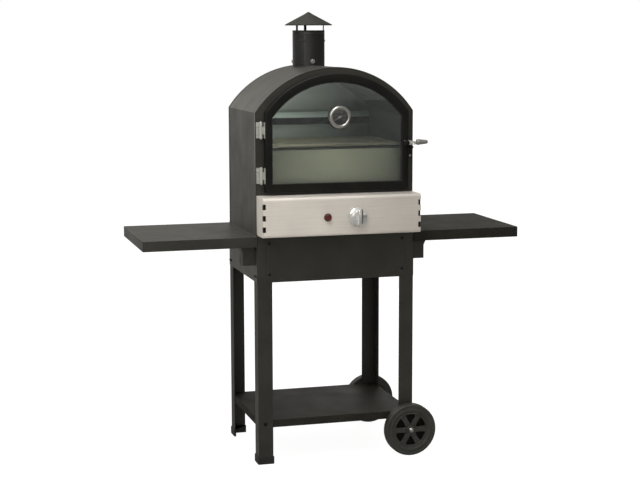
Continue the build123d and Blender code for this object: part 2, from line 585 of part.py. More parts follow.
def make_latch():
    plate_y = DOOR_FRONT_Y - 7
    boss = rod_y(LATCH_X, plate_y + FREE, DOOR_FRONT_Y, LATCH_Z, 7.5)
    boss += rod_y(LATCH_X, plate_y - 5, DOOR_FRONT_Y - 1, LATCH_Z, LATCH_PIN_R)
    boss += hex_y(LATCH_X, plate_y - 8.5, plate_y - 4 - FREE, LATCH_Z, 13)
    nodes["latch_pivot"] = boss
    arm = plate_xz([(LATCH_X - 7, LATCH_Z - 8), (LATCH_X + 34, LATCH_Z - 6), (LATCH_X + 34, LATCH_Z + 4),
                    (LATCH_X + 6, LATCH_Z + 9), (LATCH_X - 7, LATCH_Z + 9)], plate_y - 4, plate_y)
    arm -= rod_y(LATCH_X, plate_y - 10, plate_y + 5, LATCH_Z, LATCH_PIN_R + RUN)
    rod_mid = plate_y - 2
    arm += rod_x(LATCH_X + 31, LATCH_X + 60, rod_mid, LATCH_Z + 2, 1.9)
    post_far = math.hypot(POST_DX, POST_DZ)
    slot = rod_y(0, plate_y - 6, plate_y + 2, 0, post_far + POST_R + FREE)
    slot -= rod_y(0, plate_y - 7, plate_y + 3, 0, post_far - POST_R - FREE)
    slot_from = math.degrees(math.atan2(-POST_DZ, POST_DX)) - LATCH_TURN - 8.5
    wedge = []
    for angle in (slot_from, 70):
        wedge.append((60 * math.cos(math.radians(angle)), -60 * math.sin(math.radians(angle))))
    slot &= plate_xz([(0, 0), wedge[0], wedge[1]], plate_y - 8, plate_y + 4)
    arm -= Pos(LATCH_X, 0, LATCH_Z) * slot
    grip_len = GRIP_END_X - LATCH_X - 36
    grip = Pos(GRIP_END_X - grip_len / 2, rod_mid, LATCH_Z + 2) * Rot(0, 90, 0) * Cone(GRIP_ROOT_R, GRIP_R, grip_len)
    grip = chamfer(grip.edges().filter_by(GeomType.CIRCLE), 2)
    nodes["latch_lever"] = arm
    nodes["latch_grip"] = grip - rod_x(LATCH_X + 30, LATCH_X + 60, rod_mid, LATCH_Z + 2, 1.9)
    post_x = LATCH_X + POST_DX
    post_z = LATCH_Z + POST_DZ
    base = block(post_x - 4, post_x + 11, SURROUND_FRONT_Y - 2, SURROUND_FRONT_Y, post_z - 38, post_z + 9)
    head_y = plate_y - 4 - 1.2
    base += rod_y(post_x, head_y - 3, SURROUND_FRONT_Y - 1, post_z, POST_R)
    base += rod_y(post_x, head_y - 3, head_y, post_z, POST_HEAD_R)
    base += rod_y(post_x + 4, SURROUND_FRONT_Y - 4, SURROUND_FRONT_Y - 1, post_z - 30, 3.5)
    nodes["latch_keeper"] = base


# ---- control panel --------------------------------------------------------
def make_panel():
    back_y = SURROUND_FRONT_Y
    outer = block(-PANEL_HALF, PANEL_HALF, PANEL_FRONT_Y, back_y, PANEL_LOW_Z, PANEL_TOP_Z)
    front_edges = outer.edges().filter_by(Axis.X).sort_by(Axis.Y)[:2]
    outer = fillet(front_edges, PANEL_BEND)
    inner = block(-PANEL_HALF + SHEET, PANEL_HALF - SHEET, PANEL_FRONT_Y + SHEET, back_y + 1,
                  PANEL_LOW_Z + SHEET, PANEL_TOP_Z - SHEET)
    inner_edges = inner.edges().filter_by(Axis.X).sort_by(Axis.Y)[:2]
    inner = fillet(inner_edges, PANEL_BEND - SHEET)
    panel = outer - inner
    panel -= block(-PANEL_HALF + 20, PANEL_HALF - 20, PANEL_FRONT_Y + 24, back_y - 12, PANEL_LOW_Z - 5, PANEL_LOW_Z + 5)
    for side in (-1, 1):
        for z in (CONTROL_Z - 34, CONTROL_Z + 3, CONTROL_Z + 40):
            xs = sorted((side * (PANEL_HALF + 2), side * (PANEL_HALF - 9)))
            panel -= block(xs[0], xs[1], PANEL_FRONT_Y - 2, PANEL_FRONT_Y + 13, z - 9, z + 9)
    panel -= rod_y(KNOB_X, PANEL_FRONT_Y - 5, PANEL_FRONT_Y + 5, CONTROL_Z, 8)
    panel -= rod_y(BUTTON_X, PANEL_FRONT_Y - 5, PANEL_FRONT_Y + 5, CONTROL_Z, BUTTON_R + 0.7)
    nodes["control_panel"] = panel


def make_gas_train():
    inside_y = PANEL_FRONT_Y + SHEET
    body_end = PANEL_FRONT_Y + 49.0
    collar_r = 7.0
    valve = block(KNOB_X - 24, KNOB_X + 24, inside_y, inside_y + 3, CONTROL_Z - 13, CONTROL_Z + 13)
    valve += rod_y(KNOB_X, inside_y, body_end, CONTROL_Z, 14)
    valve += rod_z(KNOB_X, body_end - 12, CONTROL_Z - 34, CONTROL_Z, 10)
    valve -= rod_y(KNOB_X, inside_y - 5, inside_y + 26, CONTROL_Z, collar_r + RUN)
    collar = rod_y(KNOB_X, inside_y - 1, inside_y + 18, CONTROL_Z, collar_r)
    nodes["push_collar"] = collar - rod_y(KNOB_X, inside_y - 5, inside_y + 40, CONTROL_Z, STEM_R + RUN)
    knob_back = PANEL_FRONT_Y - PUSH - 1.5
    knob_front = PANEL_FRONT_Y - 2.0 - KNOB_REACH
    skirt = rod_y(KNOB_X, knob_back - 9, knob_back, CONTROL_Z, KNOB_R)
    rim = skirt.edges().filter_by(GeomType.CIRCLE).sort_by(Axis.Y)[0]
    skirt = chamfer(rim, 4)
    bar = block(KNOB_X - 8, KNOB_X + 8, knob_front, knob_back - 8, CONTROL_Z - 27, CONTROL_Z + 27)
    bar = chamfer(bar.edges().filter_by(Axis.X).sort_by(Axis.Y)[:2], 9)
    knob = skirt + bar
    knob += rod_y(KNOB_X, knob_back - 2, inside_y + 18, CONTROL_Z, STEM_R)
    knob += rod_y(KNOB_X, inside_y - 1 - FREE - 3, inside_y - 1 - FREE, CONTROL_Z, 6)
    nodes["gas_knob"] = knob
    inlet_y = body_end - 12
    inlet_z = CONTROL_Z - 34
    inlet = rod_z(KNOB_X, inlet_y, PANEL_LOW_Z + 3, inlet_z, 6.5)
    face = RegularPolygon(9.5, 6, major_radius=False)
    inlet += Pos(KNOB_X, inlet_y, inlet_z - 7) * extrude(face, 7)
    inlet -= rod_z(KNOB_X, inlet_y, PANEL_LOW_Z, inlet_z - 2, 3.5)
    nodes["gas_valve"] = valve + inlet
    mouth_y = SURROUND_FRONT_Y + 18.0
    jet = rod_y(KNOB_X, body_end, mouth_y - 4, CONTROL_Z, 5)
    jet += hex_y(KNOB_X, body_end, body_end + 9, CONTROL_Z, 17)
    jet += rod_y(KNOB_X, mouth_y - 4, mouth_y + 6, CONTROL_Z, 2.5)
    shutter = rod_y(KNOB_X, mouth_y - 3, mouth_y, CONTROL_Z, 20)
    shutter -= rod_y(KNOB_X, mouth_y - 7, mouth_y + 8, CONTROL_Z, 2)
    for x in (-12, 12):
        shutter -= rod_y(KNOB_X + x, mouth_y - 7, mouth_y + 8, CONTROL_Z, 4)
    nodes["gas_jet"] = jet + shutter


def make_igniter():
    inside_y = PANEL_FRONT_Y + SHEET
    guide_r = BUTTON_R - 2.5
    barrel = rod_y(BUTTON_X, PANEL_FRONT_Y, inside_y + 42, CONTROL_Z, BUTTON_R + 0.5)
    barrel += rod_y(BUTTON_X, PANEL_FRONT_Y - 2.5, PANEL_FRONT_Y, CONTROL_Z, BUTTON_R + 2.5)
    barrel += hex_y(BUTTON_X, inside_y, inside_y + 5, CONTROL_Z, 2 * BUTTON_R + 6)
    barrel -= rod_y(BUTTON_X, PANEL_FRONT_Y - 5, inside_y + 30, CONTROL_Z, guide_r + RUN)
    barrel -= rod_y(BUTTON_X, PANEL_FRONT_Y - 5, PANEL_FRONT_Y + 8, CONTROL_Z, BUTTON_R + 0.1)
    barrel += rod_y(BUTTON_X, inside_y + 42, inside_y + 52, CONTROL_Z, 4)
    nodes["igniter_barrel"] = barrel
    button = rod_y(BUTTON_X, PANEL_FRONT_Y - 2.5 - BUTTON_REACH, PANEL_FRONT_Y + 1, CONTROL_Z, BUTTON_R)
    rim = button.edges().filter_by(GeomType.CIRCLE).sort_by(Axis.Y)[0]
    button = chamfer(rim, 2)
    button += rod_y(BUTTON_X, PANEL_FRONT_Y + 1, inside_y + 20, CONTROL_Z, guide_r)
    nodes["igniter_button"] = button
    base_z = CHAMBER_FLOOR_Z + LINER
    electrode = rod_z(DOOR_X - 100, -34, base_z, base_z + 30, 5)
    electrode += rod_z(DOOR_X - 100, -34, base_z + 30, base_z + 44, 1.5)
    electrode += block(DOOR_X - 112, DOOR_X - 88, -42, -26, base_z, base_z + 2)
    nodes["igniter_electrode"] = electrode


# ---- build and export -----------------------------------------------------
make_frame()
make_shelves()
make_wheels()
make_body()
make_hearth()
make_burner()
make_chimney()
make_door()
make_hinges()
make_thermometer()
make_latch()
make_panel()
make_gas_train()
make_igniter()

os.makedirs("parts", exist_ok=True)
for name, shape in nodes.items():
    pieces = shape if isinstance(shape, list) else [shape]
    solids = []
    for piece in pieces:
        for solid in piece.solids():
            solids.append(Pos(0, SHIFT_Y, 0) * solid)
    export_step(solids[0] if len(solids) == 1 else Compound(solids), "parts/" + name + ".step")
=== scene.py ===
import json
from math import asin, copysign, cos, exp, hypot, pi, radians, sin, tau
import bmesh
import bpy
from mathutils import Matrix, Vector


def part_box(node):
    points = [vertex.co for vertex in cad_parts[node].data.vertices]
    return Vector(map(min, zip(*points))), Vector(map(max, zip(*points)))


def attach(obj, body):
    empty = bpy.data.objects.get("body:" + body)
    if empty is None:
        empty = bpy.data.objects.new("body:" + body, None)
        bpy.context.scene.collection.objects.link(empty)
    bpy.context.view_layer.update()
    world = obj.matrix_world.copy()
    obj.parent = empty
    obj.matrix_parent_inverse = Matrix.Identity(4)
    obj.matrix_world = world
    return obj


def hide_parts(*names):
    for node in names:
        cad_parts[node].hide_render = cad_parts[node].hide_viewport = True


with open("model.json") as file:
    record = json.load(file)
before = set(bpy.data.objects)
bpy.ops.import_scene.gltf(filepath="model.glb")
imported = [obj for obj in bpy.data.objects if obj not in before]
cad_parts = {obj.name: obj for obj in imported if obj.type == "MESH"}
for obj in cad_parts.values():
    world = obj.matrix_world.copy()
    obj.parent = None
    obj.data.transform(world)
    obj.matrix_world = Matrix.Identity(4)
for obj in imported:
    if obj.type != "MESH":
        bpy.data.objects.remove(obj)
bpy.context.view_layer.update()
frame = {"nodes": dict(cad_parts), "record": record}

# Gas pizza oven on a trolley. +Z is up and the front faces -Y.
# Lengths are millimetres from the centre of the leg frame, at floor level;
# at() turns them to metres in the frame's own axes.
MM = 0.001
FOOT_MIDDLE_Y = 34.0
body_of_node = {node: body for body, names in frame["record"]["behaviour"]["bodies"].items()
                for node in names}
slot_of_node = {sub["node"]: sub["material_slot"] for sub in frame["record"]["subparts"]}


def at(x, y, z):
    return Vector((x, y + FOOT_MIDDLE_Y, z)) * MM


def span(node):
    """Lowest and highest corner of a CAD node in the script's own millimetres."""
    low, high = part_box(node)
    shift = Vector((0, FOOT_MIDDLE_Y, 0))
    return low / MM - shift, high / MM - shift


def middle(node):
    low, high = span(node)
    return (low + high) / 2


def half_size(node):
    low, high = span(node)
    return (high - low) / 2


# ---- sizes shared by the pieces -------------------------------------------
SHEET = 1.5
LEG_X, LEG_Y = span("leg_rear_right")[1].x, span("leg_rear_right")[1].y
WHEEL_X, WHEEL_Z = middle("wheel_front_rim").x, middle("wheel_front_rim").z
WHEEL_R, RIM_R = half_size("wheel_front_tyre").z, half_size("wheel_front_rim").z
DOOR_X = 4.0
DOOR_FRONT_Y, DOOR_REAR_Y = span("door_frame")[0].y, span("door_frame")[1].y
# An arch: its middle, half width and lowest edge, and the radius of its crown about a point at z.
DOOR_OUTER = {"x": DOOR_X, "half": 246.0, "low": 911.0, "r": 302.0, "z": 996.0}
DOOR_INNER = {"x": DOOR_X, "half": 223.5, "low": 938.0, "r": 276.0, "z": 994.0}
ROOF = {"x": 0.0, "half": LEG_X, "low": span("oven_wrap")[0].z, "r": 324.0, "z": 993.0}
HINGE_X, HINGE_PIN_X, HINGE_PIN_Y = -264.0, -254.0, -207.0
HINGE_LOWS, HINGE_TALL = (941.0, 1090.0), 52.0
THERMO, THERMO_R = middle("thermometer_case"), half_size("thermometer_case").x
DIAL_SWEEP, DIAL_STEPS = 240.0, 50
PANEL_Y = span("control_panel")[0].y
KNOB = middle("gas_knob")
BUTTON, BUTTON_R = middle("igniter_button"), half_size("igniter_button").x
FLUE_Y, FLUE_R = middle("chimney_pipe").y, half_size("chimney_pipe").x
FLUE_LOW_Z, FLUE_TOP_Z = span("chimney_pipe")[0].z, span("chimney_pipe")[1].z
CAP_R = half_size("chimney_cap").x
CAP_RIM_Z, CAP_TOP_Z = span("chimney_cap")[0].z, span("chimney_cap")[1].z
STRUT_DEGREES = -153.0
FLUE_BOLT_Z = 1331.0
DEFLECTOR_Y, DEFLECTOR_TOP_Z = 145.0, 1143.0


# ---- camera, light and stage ----------------------------------------------
CAMERA_AT = (-1408.6, -4984.9, 1442.7)
CAMERA_YAW = radians(15.81)
CAMERA_PITCH = radians(7.95)
CAMERA_ROLL = radians(-0.14)
CAMERA_LENS = 85.16
LAMPS_AIM = (0, 0, 850)
LAMPS = (  # name, place, side in metres and watts
    ("key_softbox", (-3000, -1300, 3200), 1.8, 19.0),
    ("top_softbox", (-200, 700, 3800), 2.4, 30.0),
    ("front_softbox", (-1500, -1900, 2100), 0.9, 10.0),
    ("right_softbox", (3000, -1800, 2200), 1.6, 1.0),
    ("panel_softbox", (-600, -1100, 2900), 0.9, 30.0),
    ("rear_softbox", (1300, 3000, 450), 1.4, 14.0))
FILL_LEVEL = 0.62
DOME_LEVELS = ((0.0, 0.33), (0.06, 0.82), (0.19, 0.8), (0.26, 0.42), (0.9, 0.8))  # height, strength
# From one place along X to another, and the strength at either; the floor's places are in metres.
DOME_LEFTWARD, DOME_FAR_LEFT = (-0.3, 0.09, 2.3, 0.64), (-0.6, -0.32, 0.08, 1.0)
THROUGH_GLASS = (-0.5, 0.8, 0.3, 2.4)
FLOOR_SWEEP, FLOOR_RIGHT, FLOOR_LEFT = (-4.0, 2.0, 0.55, 0.24), (2.5, 3.1, 1.0, 0.1), (-3.2, -2.2, 1.0, 0.78)
FLOOR_HALF = 25.0


def put_in_scene(name, data):
    made = bpy.data.objects.new(name, data)
    bpy.context.scene.collection.objects.link(made)
    return made


def make_camera():
    forward = Vector((sin(CAMERA_YAW) * cos(CAMERA_PITCH),
                      cos(CAMERA_YAW) * cos(CAMERA_PITCH), -sin(CAMERA_PITCH)))
    level = Vector((cos(CAMERA_YAW), -sin(CAMERA_YAW), 0))
    upright = level.cross(forward)
    right = level * cos(CAMERA_ROLL) + upright * sin(CAMERA_ROLL)
    up = upright * cos(CAMERA_ROLL) - level * sin(CAMERA_ROLL)
    turn = Matrix((right, up, -forward)).transposed().to_4x4()
    data = bpy.data.cameras.new("camera")
    data.sensor_width = 36
    data.lens = CAMERA_LENS
    data.clip_end = 60
    camera = put_in_scene("camera", data)
    camera.matrix_world = Matrix.Translation(at(*CAMERA_AT)) @ turn
    bpy.context.scene.camera = camera


def linear(hex_code):
    """An sRGB hex value as the linear colour that the shaders take."""
    value = hex_code.lstrip("#")
    parts = [int(value[i:i + 2], 16) / 255 for i in (0, 2, 4)]
    return (*[part / 12.92 if part <= 0.04045 else ((part + 0.055) / 1.055) ** 2.4 for part in parts], 1.0)


def add(tree, kind, inputs=(), stops=(), **settings):
    """Adds one node. Its inputs go by name or in their own order, each a value, a socket or a node
    whose first socket is linked; stops are a ramp's (place, colour) pairs."""
    node = tree.nodes.new("ShaderNode" + kind)
    for name, value in settings.items():
        setattr(node, name, value)
    for name, value in inputs.items() if isinstance(inputs, dict) else enumerate(inputs):
        if isinstance(value, bpy.types.Node):
            value = value.outputs[0]
        if isinstance(value, bpy.types.NodeSocket):
            tree.links.new(value, node.inputs[name])
        else:
            node.inputs[name].default_value = value
    for _ in stops[2:]:
        node.color_ramp.elements.new(0.5)
    for i, (place, colour) in enumerate(stops):
        node.color_ramp.elements[i].position = place
        node.color_ramp.elements[i].color = colour
    return node


def ray_kinds(tree):
    """The light path's sockets, and 1 for rays that look straight at a thing or through glass."""
    rays = add(tree, "LightPath").outputs
    return rays, add(tree, "Math", [rays["Is Camera Ray"], rays["Is Transmission Ray"]], operation="MAXIMUM")


def make_world():
    """White to the camera, an even fill for diffuse light, a dome that reflects brighter above and
    to the left, and more light through the door glass from the right, so that the oven's left lights up."""
    world = bpy.data.worlds.new("studio")
    world.use_nodes = True
    tree = world.node_tree
    tree.nodes.clear()
    rays, open_view = ray_kinds(tree)
    way = add(tree, "SeparateXYZ", [add(tree, "TexCoord").outputs["Generated"]]).outputs
    height = add(tree, "ValToRGB", [way["Z"]],
                 [(place, (level, level, level, 1)) for place, level in DOME_LEVELS])
    leftward = add(tree, "MapRange", [way["X"], *DOME_LEFTWARD])
    far_left = add(tree, "MapRange", [way["X"], *DOME_FAR_LEFT])
    sideways = add(tree, "Math", [leftward, far_left], operation="MULTIPLY")
    dome_level = add(tree, "Math", [height, sideways], operation="MULTIPLY")
    through = add(tree, "MapRange", [way["X"], *THROUGH_GLASS])
    clear_level = add(tree, "Mix", {"Factor": rays["Is Transmission Ray"], "A": 1.0, "B": through})
    fill = add(tree, "Background", [linear("#fbf8f1"), FILL_LEVEL])
    dome = add(tree, "Background", [linear("#fdfaf2"), dome_level])
    white = add(tree, "Background", [(1, 1, 1, 1), clear_level])
    lit = add(tree, "MixShader", [rays["Is Glossy Ray"], fill, dome])
    add(tree, "OutputWorld", [add(tree, "MixShader", [open_view, lit, white])])
    bpy.context.scene.world = world


def make_lamps():
    bpy.context.scene.view_settings.view_transform = "Standard"
    for name, place, size, power in LAMPS:
        data = bpy.data.lights.new(name, "AREA")
        data.shape = "SQUARE"
        data.size = size
        data.energy = power
        lamp = put_in_scene(name, data)
        lamp.location = at(*place)
        aim = at(*LAMPS_AIM) - lamp.location
        lamp.rotation_euler = aim.to_track_quat("-Z", "Y").to_euler()


def make_floor():
    """A white paper sweep: white to the camera but for the object's shadow, dim where it is reflected."""
    mesh = bpy.data.meshes.new("studio_floor")
    corners = [(x * FLOOR_HALF, y * FLOOR_HALF, 0) for x, y in ((-1, -1), (1, -1), (1, 1), (-1, 1))]
    mesh.from_pydata(corners, [], [(0, 1, 2, 3)])
    floor = put_in_scene("studio_floor", mesh)
    material, tree, where = blank_finish("white_paper_sweep")
    rays, open_view = ray_kinds(tree)
    place = add(tree, "SeparateXYZ", [where])
    sweep, off_right, off_left = [add(tree, "MapRange", [place, *strip])
                                  for strip in (FLOOR_SWEEP, FLOOR_RIGHT, FLOOR_LEFT)]
    falls = add(tree, "Math", [off_right, off_left], operation="MULTIPLY")
    dim_level = add(tree, "Math", [falls, sweep], operation="MULTIPLY")
    paper = add(tree, "BsdfDiffuse", [linear("#f2f2f0")])
    dim = add(tree, "Emission", [linear("#fbf8f1"), dim_level])
    # The grey shade adds the last of the white, which the object's shadow takes away.
    glow = add(tree, "Emission", [(1, 1, 1, 1), 0.95])
    shade = add(tree, "BsdfDiffuse", [(0.2, 0.2, 0.2, 1)])
    lit = add(tree, "MixShader", [rays["Is Glossy Ray"], paper, dim])
    shown = add(tree, "AddShader", [glow, shade])
    add(tree, "OutputMaterial", [add(tree, "MixShader", [open_view, lit, shown])])
    mesh.materials.append(material)


# ---- finishes -------------------------------------------------------------
FAINT, STRONG = 0.3, 0.7  # a cloudy pattern lies mostly between these levels


def blank_finish(name, *patterns):
    """A material with no shader yet, its tree, the piece's own coordinates, and a cloudy pattern
    for each (size of its features in millimetres, detail, twist)."""
    material = bpy.data.materials.new(name)
    material.use_nodes = True
    tree = material.node_tree
    tree.nodes.clear()
    where = add(tree, "TexCoord").outputs["Object"]
    clouds = [add(tree, "TexNoise", {"Vector": where, "Scale": scale_for(size), "Detail": detail,
                                     "Distortion": twist}) for size, detail, twist in patterns]
    return material, tree, where, *clouds


def finished(material, inputs, wear=None, relief=None):
    """Closes a material with its surface shader. Wear is (pattern, least and most roughness), and
    relief is (pattern, strength, depth in millimetres)."""
    tree = material.node_tree
    if wear:
        inputs["Roughness"] = add(tree, "MapRange", [wear[0], FAINT, STRONG, *wear[1:]])
    if relief:
        inputs["Normal"] = add(tree, "Bump", {"Height": relief[0], "Strength": relief[1],
                                              "Distance": relief[2] * MM})
    add(tree, "OutputMaterial", [add(tree, "BsdfPrincipled", inputs)])
    return material


def scale_for(size_mm):
    """The scale at which a pattern's features are about size_mm across."""
    return 1 / (size_mm * MM)


def tones(pair, start=FAINT, end=STRONG):
    """A dark and a light tone as the two stops of a ramp."""
    return [(start, linear(pair[0])), (end, linear(pair[1]))]


def powder_coat(name, pair, roughness, specular=0.5):
    """Powder coat or baked paint on steel: even satin colour, faint handling clouds and a fine
    orange-peel skin."""
    material, tree, _, cloud, fleck, peel = blank_finish(name, (90, 3, 0), (1.1, 2, 0), (2.2, 1.5, 0))
    tone = add(tree, "ValToRGB", [cloud], tones(pair))
    speckle = add(tree, "MapRange", [fleck, FAINT, STRONG, 0.86, 1.12])
    return finished(material, {
        "Base Color": add(tree, "VectorMath", {0: tone, "Scale": speckle}, operation="SCALE"),
        "IOR": 1.5, "Specular IOR Level": specular},
        (cloud, roughness - 0.05, roughness + 0.07), (peel, 0.16, 0.25))


def brushed_steel(name, pair, grain_axis, roughness, metallic=1.0, depth=0.12):
    """Stainless sheet, belt-ground one way: fine streaks along the grain that spread the light
    across it. The streaks are 0.7 mm wide, coarser than real grit leaves them, so that they show."""
    material, tree, where, wiped = blank_finish(name, (130, 2, 0))
    stretch = [scale_for(0.7)] * 3
    stretch["XYZ".index(grain_axis)] = scale_for(160)
    across = add(tree, "Mapping", {"Vector": where, "Scale": stretch})
    streak = add(tree, "TexNoise", {"Vector": across, "Scale": 1.0, "Detail": 4.0})
    tone = add(tree, "ValToRGB", [streak], tones(pair, 0.25, 0.75))
    smear = add(tree, "MapRange", [wiped, FAINT, STRONG, 0.95, 1.04])
    return finished(material, {
        "Base Color": add(tree, "VectorMath", {0: tone, "Scale": smear}, operation="SCALE"),
        "Metallic": metallic}, (streak, roughness - 0.06, roughness + 0.08), (streak, depth, 0.1))


def painted_light_grade(material, across, levels, centre=None, along="X"):
    """Paints light and shade across a finish, along an axis or outwards from a centre.
    Across is where the grade starts and ends, levels what share of the colour shows there: below 1
    is painted shade, above 1 painted light. Its edge wanders by up to 30 mm."""
    tree = material.node_tree
    shader = next(node for node in tree.nodes if node.type == "BSDF_PRINCIPLED")
    own_tone = shader.inputs["Base Color"].links[0].from_socket
    where = add(tree, "TexCoord").outputs["Object"]
    if centre:
        away = add(tree, "VectorMath", [where, at(*centre)], operation="DISTANCE").outputs["Value"]
    else:
        away = add(tree, "SeparateXYZ", [where]).outputs[along]
    cloud = add(tree, "TexNoise", {"Vector": where, "Scale": scale_for(60), "Detail": 3.0})
    ragged = add(tree, "Math", [cloud, 30 * MM, away], operation="MULTIPLY_ADD")
    # The painted light and shade: the share of the own tone that shows at each place.
    film = add(tree, "MapRange", [ragged, across[0] * MM, across[1] * MM, *levels])
    graded = add(tree, "VectorMath", {0: own_tone, "Scale": film}, operation="SCALE")
    tree.links.new(graded.outputs[0], shader.inputs["Base Color"])
    return material


def plated_metal(name, pair, roughness, metallic=1.0):
    """Zinc, chrome or turned metal: clear reflections with a faint haze of handling marks."""
    material, tree, _, haze, grain = blank_finish(name, (9, 4, 0), (0.9, 2, 0))
    return finished(material, {
        "Base Color": add(tree, "ValToRGB", [haze], tones(pair)), "Metallic": metallic},
        (haze, max(0.03, roughness - 0.04), roughness + 0.07), (grain, 0.05, 0.05))


def heat_tint_shade_steel(name):
    """Stainless that has been very hot: a dull skin with blue-black and brown clouds, near black, used as
    painted shade.
    """
    material, tree, _, tint, dulled = blank_finish(name, (70, 3, 0.6), (14, 3, 0))
    colours = [(0.34, linear("#0b1011")), (0.5, linear("#0c1214")), (0.68, linear("#191816"))]
    return finished(material, {
        "Base Color": add(tree, "ValToRGB", [tint], colours),
        "Metallic": 0.6, "Specular IOR Level": 0.2}, (dulled, 0.38, 0.55))


def moulded_plastic(name, pair, roughness, grain_mm=0.8, specular=0.5):
    """Injection-moulded plastic: flow clouds and a fine spark-eroded grain, matt where it catches
    the light."""
    material, tree, _, flow, sheen, grain = blank_finish(name, (35, 2, 0), (6, 3, 0), (grain_mm, 3, 0))
    return finished(material, {
        "Base Color": add(tree, "ValToRGB", [flow], tones(pair)),
        "IOR": 1.49, "Specular IOR Level": specular},
        (sheen, roughness - 0.05, roughness + 0.06), (grain, 0.2, 0.12))


def cordierite_stone(name):
    """Pressed and fired cordierite: sandy and dead matt, with dark and pale grit, bake shading and
    a few pores."""
    material, tree, where, grit, baked = blank_finish(name, (1.6, 5, 0), (120, 3, 0))
    pores = add(tree, "TexVoronoi", {"Vector": where, "Scale": scale_for(4)})
    tone = add(tree, "ValToRGB", [grit], tones(("#b3a88c", "#e0d6bc"), 0.32, 0.68))
    shading = add(tree, "MapRange", [baked, FAINT, STRONG, 0.86, 1.04])
    return finished(material, {
        "Base Color": add(tree, "VectorMath", {0: tone, "Scale": shading}, operation="SCALE"),
        "Roughness": 0.9, "IOR": 1.45}, relief=(pores, 0.25, 0.2))


def fibre(name, pair, strand_mm):
    """Spun ceramic or glass fibre: soft matted strands."""
    material, tree, _, strands = blank_finish(name, (strand_mm, 6, 1.4))
    return finished(material, {
        "Base Color": add(tree, "ValToRGB", [strands], tones(pair)), "Roughness": 0.95},
        relief=(strands, 0.5, 0.6))


def cast_iron(name):
    """Sand-cast iron, dulled by heat: a pebbled dark skin."""
    material, tree, _, skin = blank_finish(name, (2, 5, 0))
    return finished(material, {
        "Base Color": add(tree, "ValToRGB", [skin], tones(("#2a2826", "#4b4642"))),
        "Metallic": 0.4, "Roughness": 0.7}, relief=(skin, 0.5, 0.5))


def float_glass(name, tint):
    """Toughened float glass: clear, faintly green, with a light film that blurs it in patches."""
    material, tree, _, film = blank_finish(name, (70, 4, 0))
    return finished(material, {
        "Roughness": add(tree, "MapRange", [film, 0.35, 0.75, 0.0, 0.05]),
        "Base Color": linear(tint), "IOR": 1.45, "Transmission Weight": 1.0})


CHARCOAL = powder_coat("charcoal_powder_coat", ("#24231e", "#2b2a24"), 0.42)
STOVE_BLACK = powder_coat("stove_black_heatproof_paint", ("#0c0c0a", "#12120f"), 0.55, 0.17)
# Painted shade: a darker, less glossy copy of the charcoal coat for the tray under the oven.
TRAY_PAINTED_SHADE_COAT = powder_coat("charcoal_coat_tray_painted_shade", ("#1f1e1a", "#272621"), 0.65, 0.12)
CAP_COAT = powder_coat("charcoal_heatproof_paint", ("#24241f", "#2d2d28"), 0.6, 0.15)
FLUE_COAT = powder_coat("charcoal_heatproof_satin", ("#090908", "#0d0d0c"), 0.44, 0.65)
# Painted light: a lighter, glossier copy of the charcoal coat for the left apron, which faces the key light.
APRON_PAINTED_LIGHT_COAT = powder_coat("charcoal_coat_apron_painted_light", ("#2f2e29", "#373630"), 0.4, 0.9)
# Painted shade: a darker, less glossy copy of the charcoal coat for the right shelf.
SHELF_PAINTED_SHADE_COAT = powder_coat("charcoal_coat_shelf_painted_shade", ("#1f1e1a", "#262520"), 0.6, 0.1)
# Painted shade: the panel's steel grows darker towards its right end.
PANEL_STEEL = painted_light_grade(brushed_steel("stainless_belt_ground_painted_shade", ("#ddd5cc", "#f0e9e1"), "X", 0.33, 0.28),
                     (-60, 215), (0.86, 0.67))
HINGE_STEEL = brushed_steel("stainless_satin_hinge", ("#a4a49e", "#b3b3ad"), "Z", 0.38, 0.35)
# Painted light and shade: the liner is brighter than its tone at the left and darker towards the right.
LINER_STEEL = painted_light_grade(brushed_steel("stainless_mill_finish_painted_light", ("#878c87", "#9da29c"), "X", 0.45, 0.3, 0.03),
                     (-130, 210), (2.75, 0.31))
# A brighter copy of the liner steel: a painted highlight on the deflector's rolled edge, with painted light
# at the left and painted shade towards the right.
STRIP_HIGHLIGHT_STEEL = painted_light_grade(brushed_steel("stainless_strip_painted_highlight", ("#a6afab", "#bfc8c3"), "X", 0.4, 0.3),
                     (-110, 210), (1.95, 0.42))
BEZEL_STEEL = plated_metal("satin_nickel_bezel", ("#aeada9", "#bcbbb7"), 0.3)
GRIP_STEEL = brushed_steel("steel_grip_turned", ("#7f7f7b", "#979792"), "Z", 0.34, 0.6)
# Painted shade: the fascia grows darker away from a point near its middle.
FASCIA_STEEL = painted_light_grade(brushed_steel("stainless_fascia_straw_tinted", ("#86846f", "#a09d88"), "X", 0.5, 0.25),
                      (50, 245), (0.93, 0.36), (-10, -186, 1010))
# Heat tint and painted shade: dark strips under the deflector lip and along the fascia's top.
HEAT_TINT_SHADE = heat_tint_shade_steel("heat_tinted_stainless_painted_shade")
ZINC = plated_metal("zinc_plated_steel", ("#a3a3a0", "#bfbfbc"), 0.32)
CHROME = plated_metal("chrome_plated_die_cast", ("#d4d4d2", "#e6e6e4"), 0.14)
SATIN_CHROME = plated_metal("satin_chrome_die_cast", ("#d6d6d4", "#e8e8e6"), 0.18, 0.72)
BRASS = plated_metal("turned_brass", ("#a98748", "#c6a35e"), 0.28)
BLACK_STEEL = plated_metal("black_oxide_screws", ("#2b2b2a", "#3a3a38"), 0.35)
STONE_FRONT_Y = span("baking_stone")[0].y
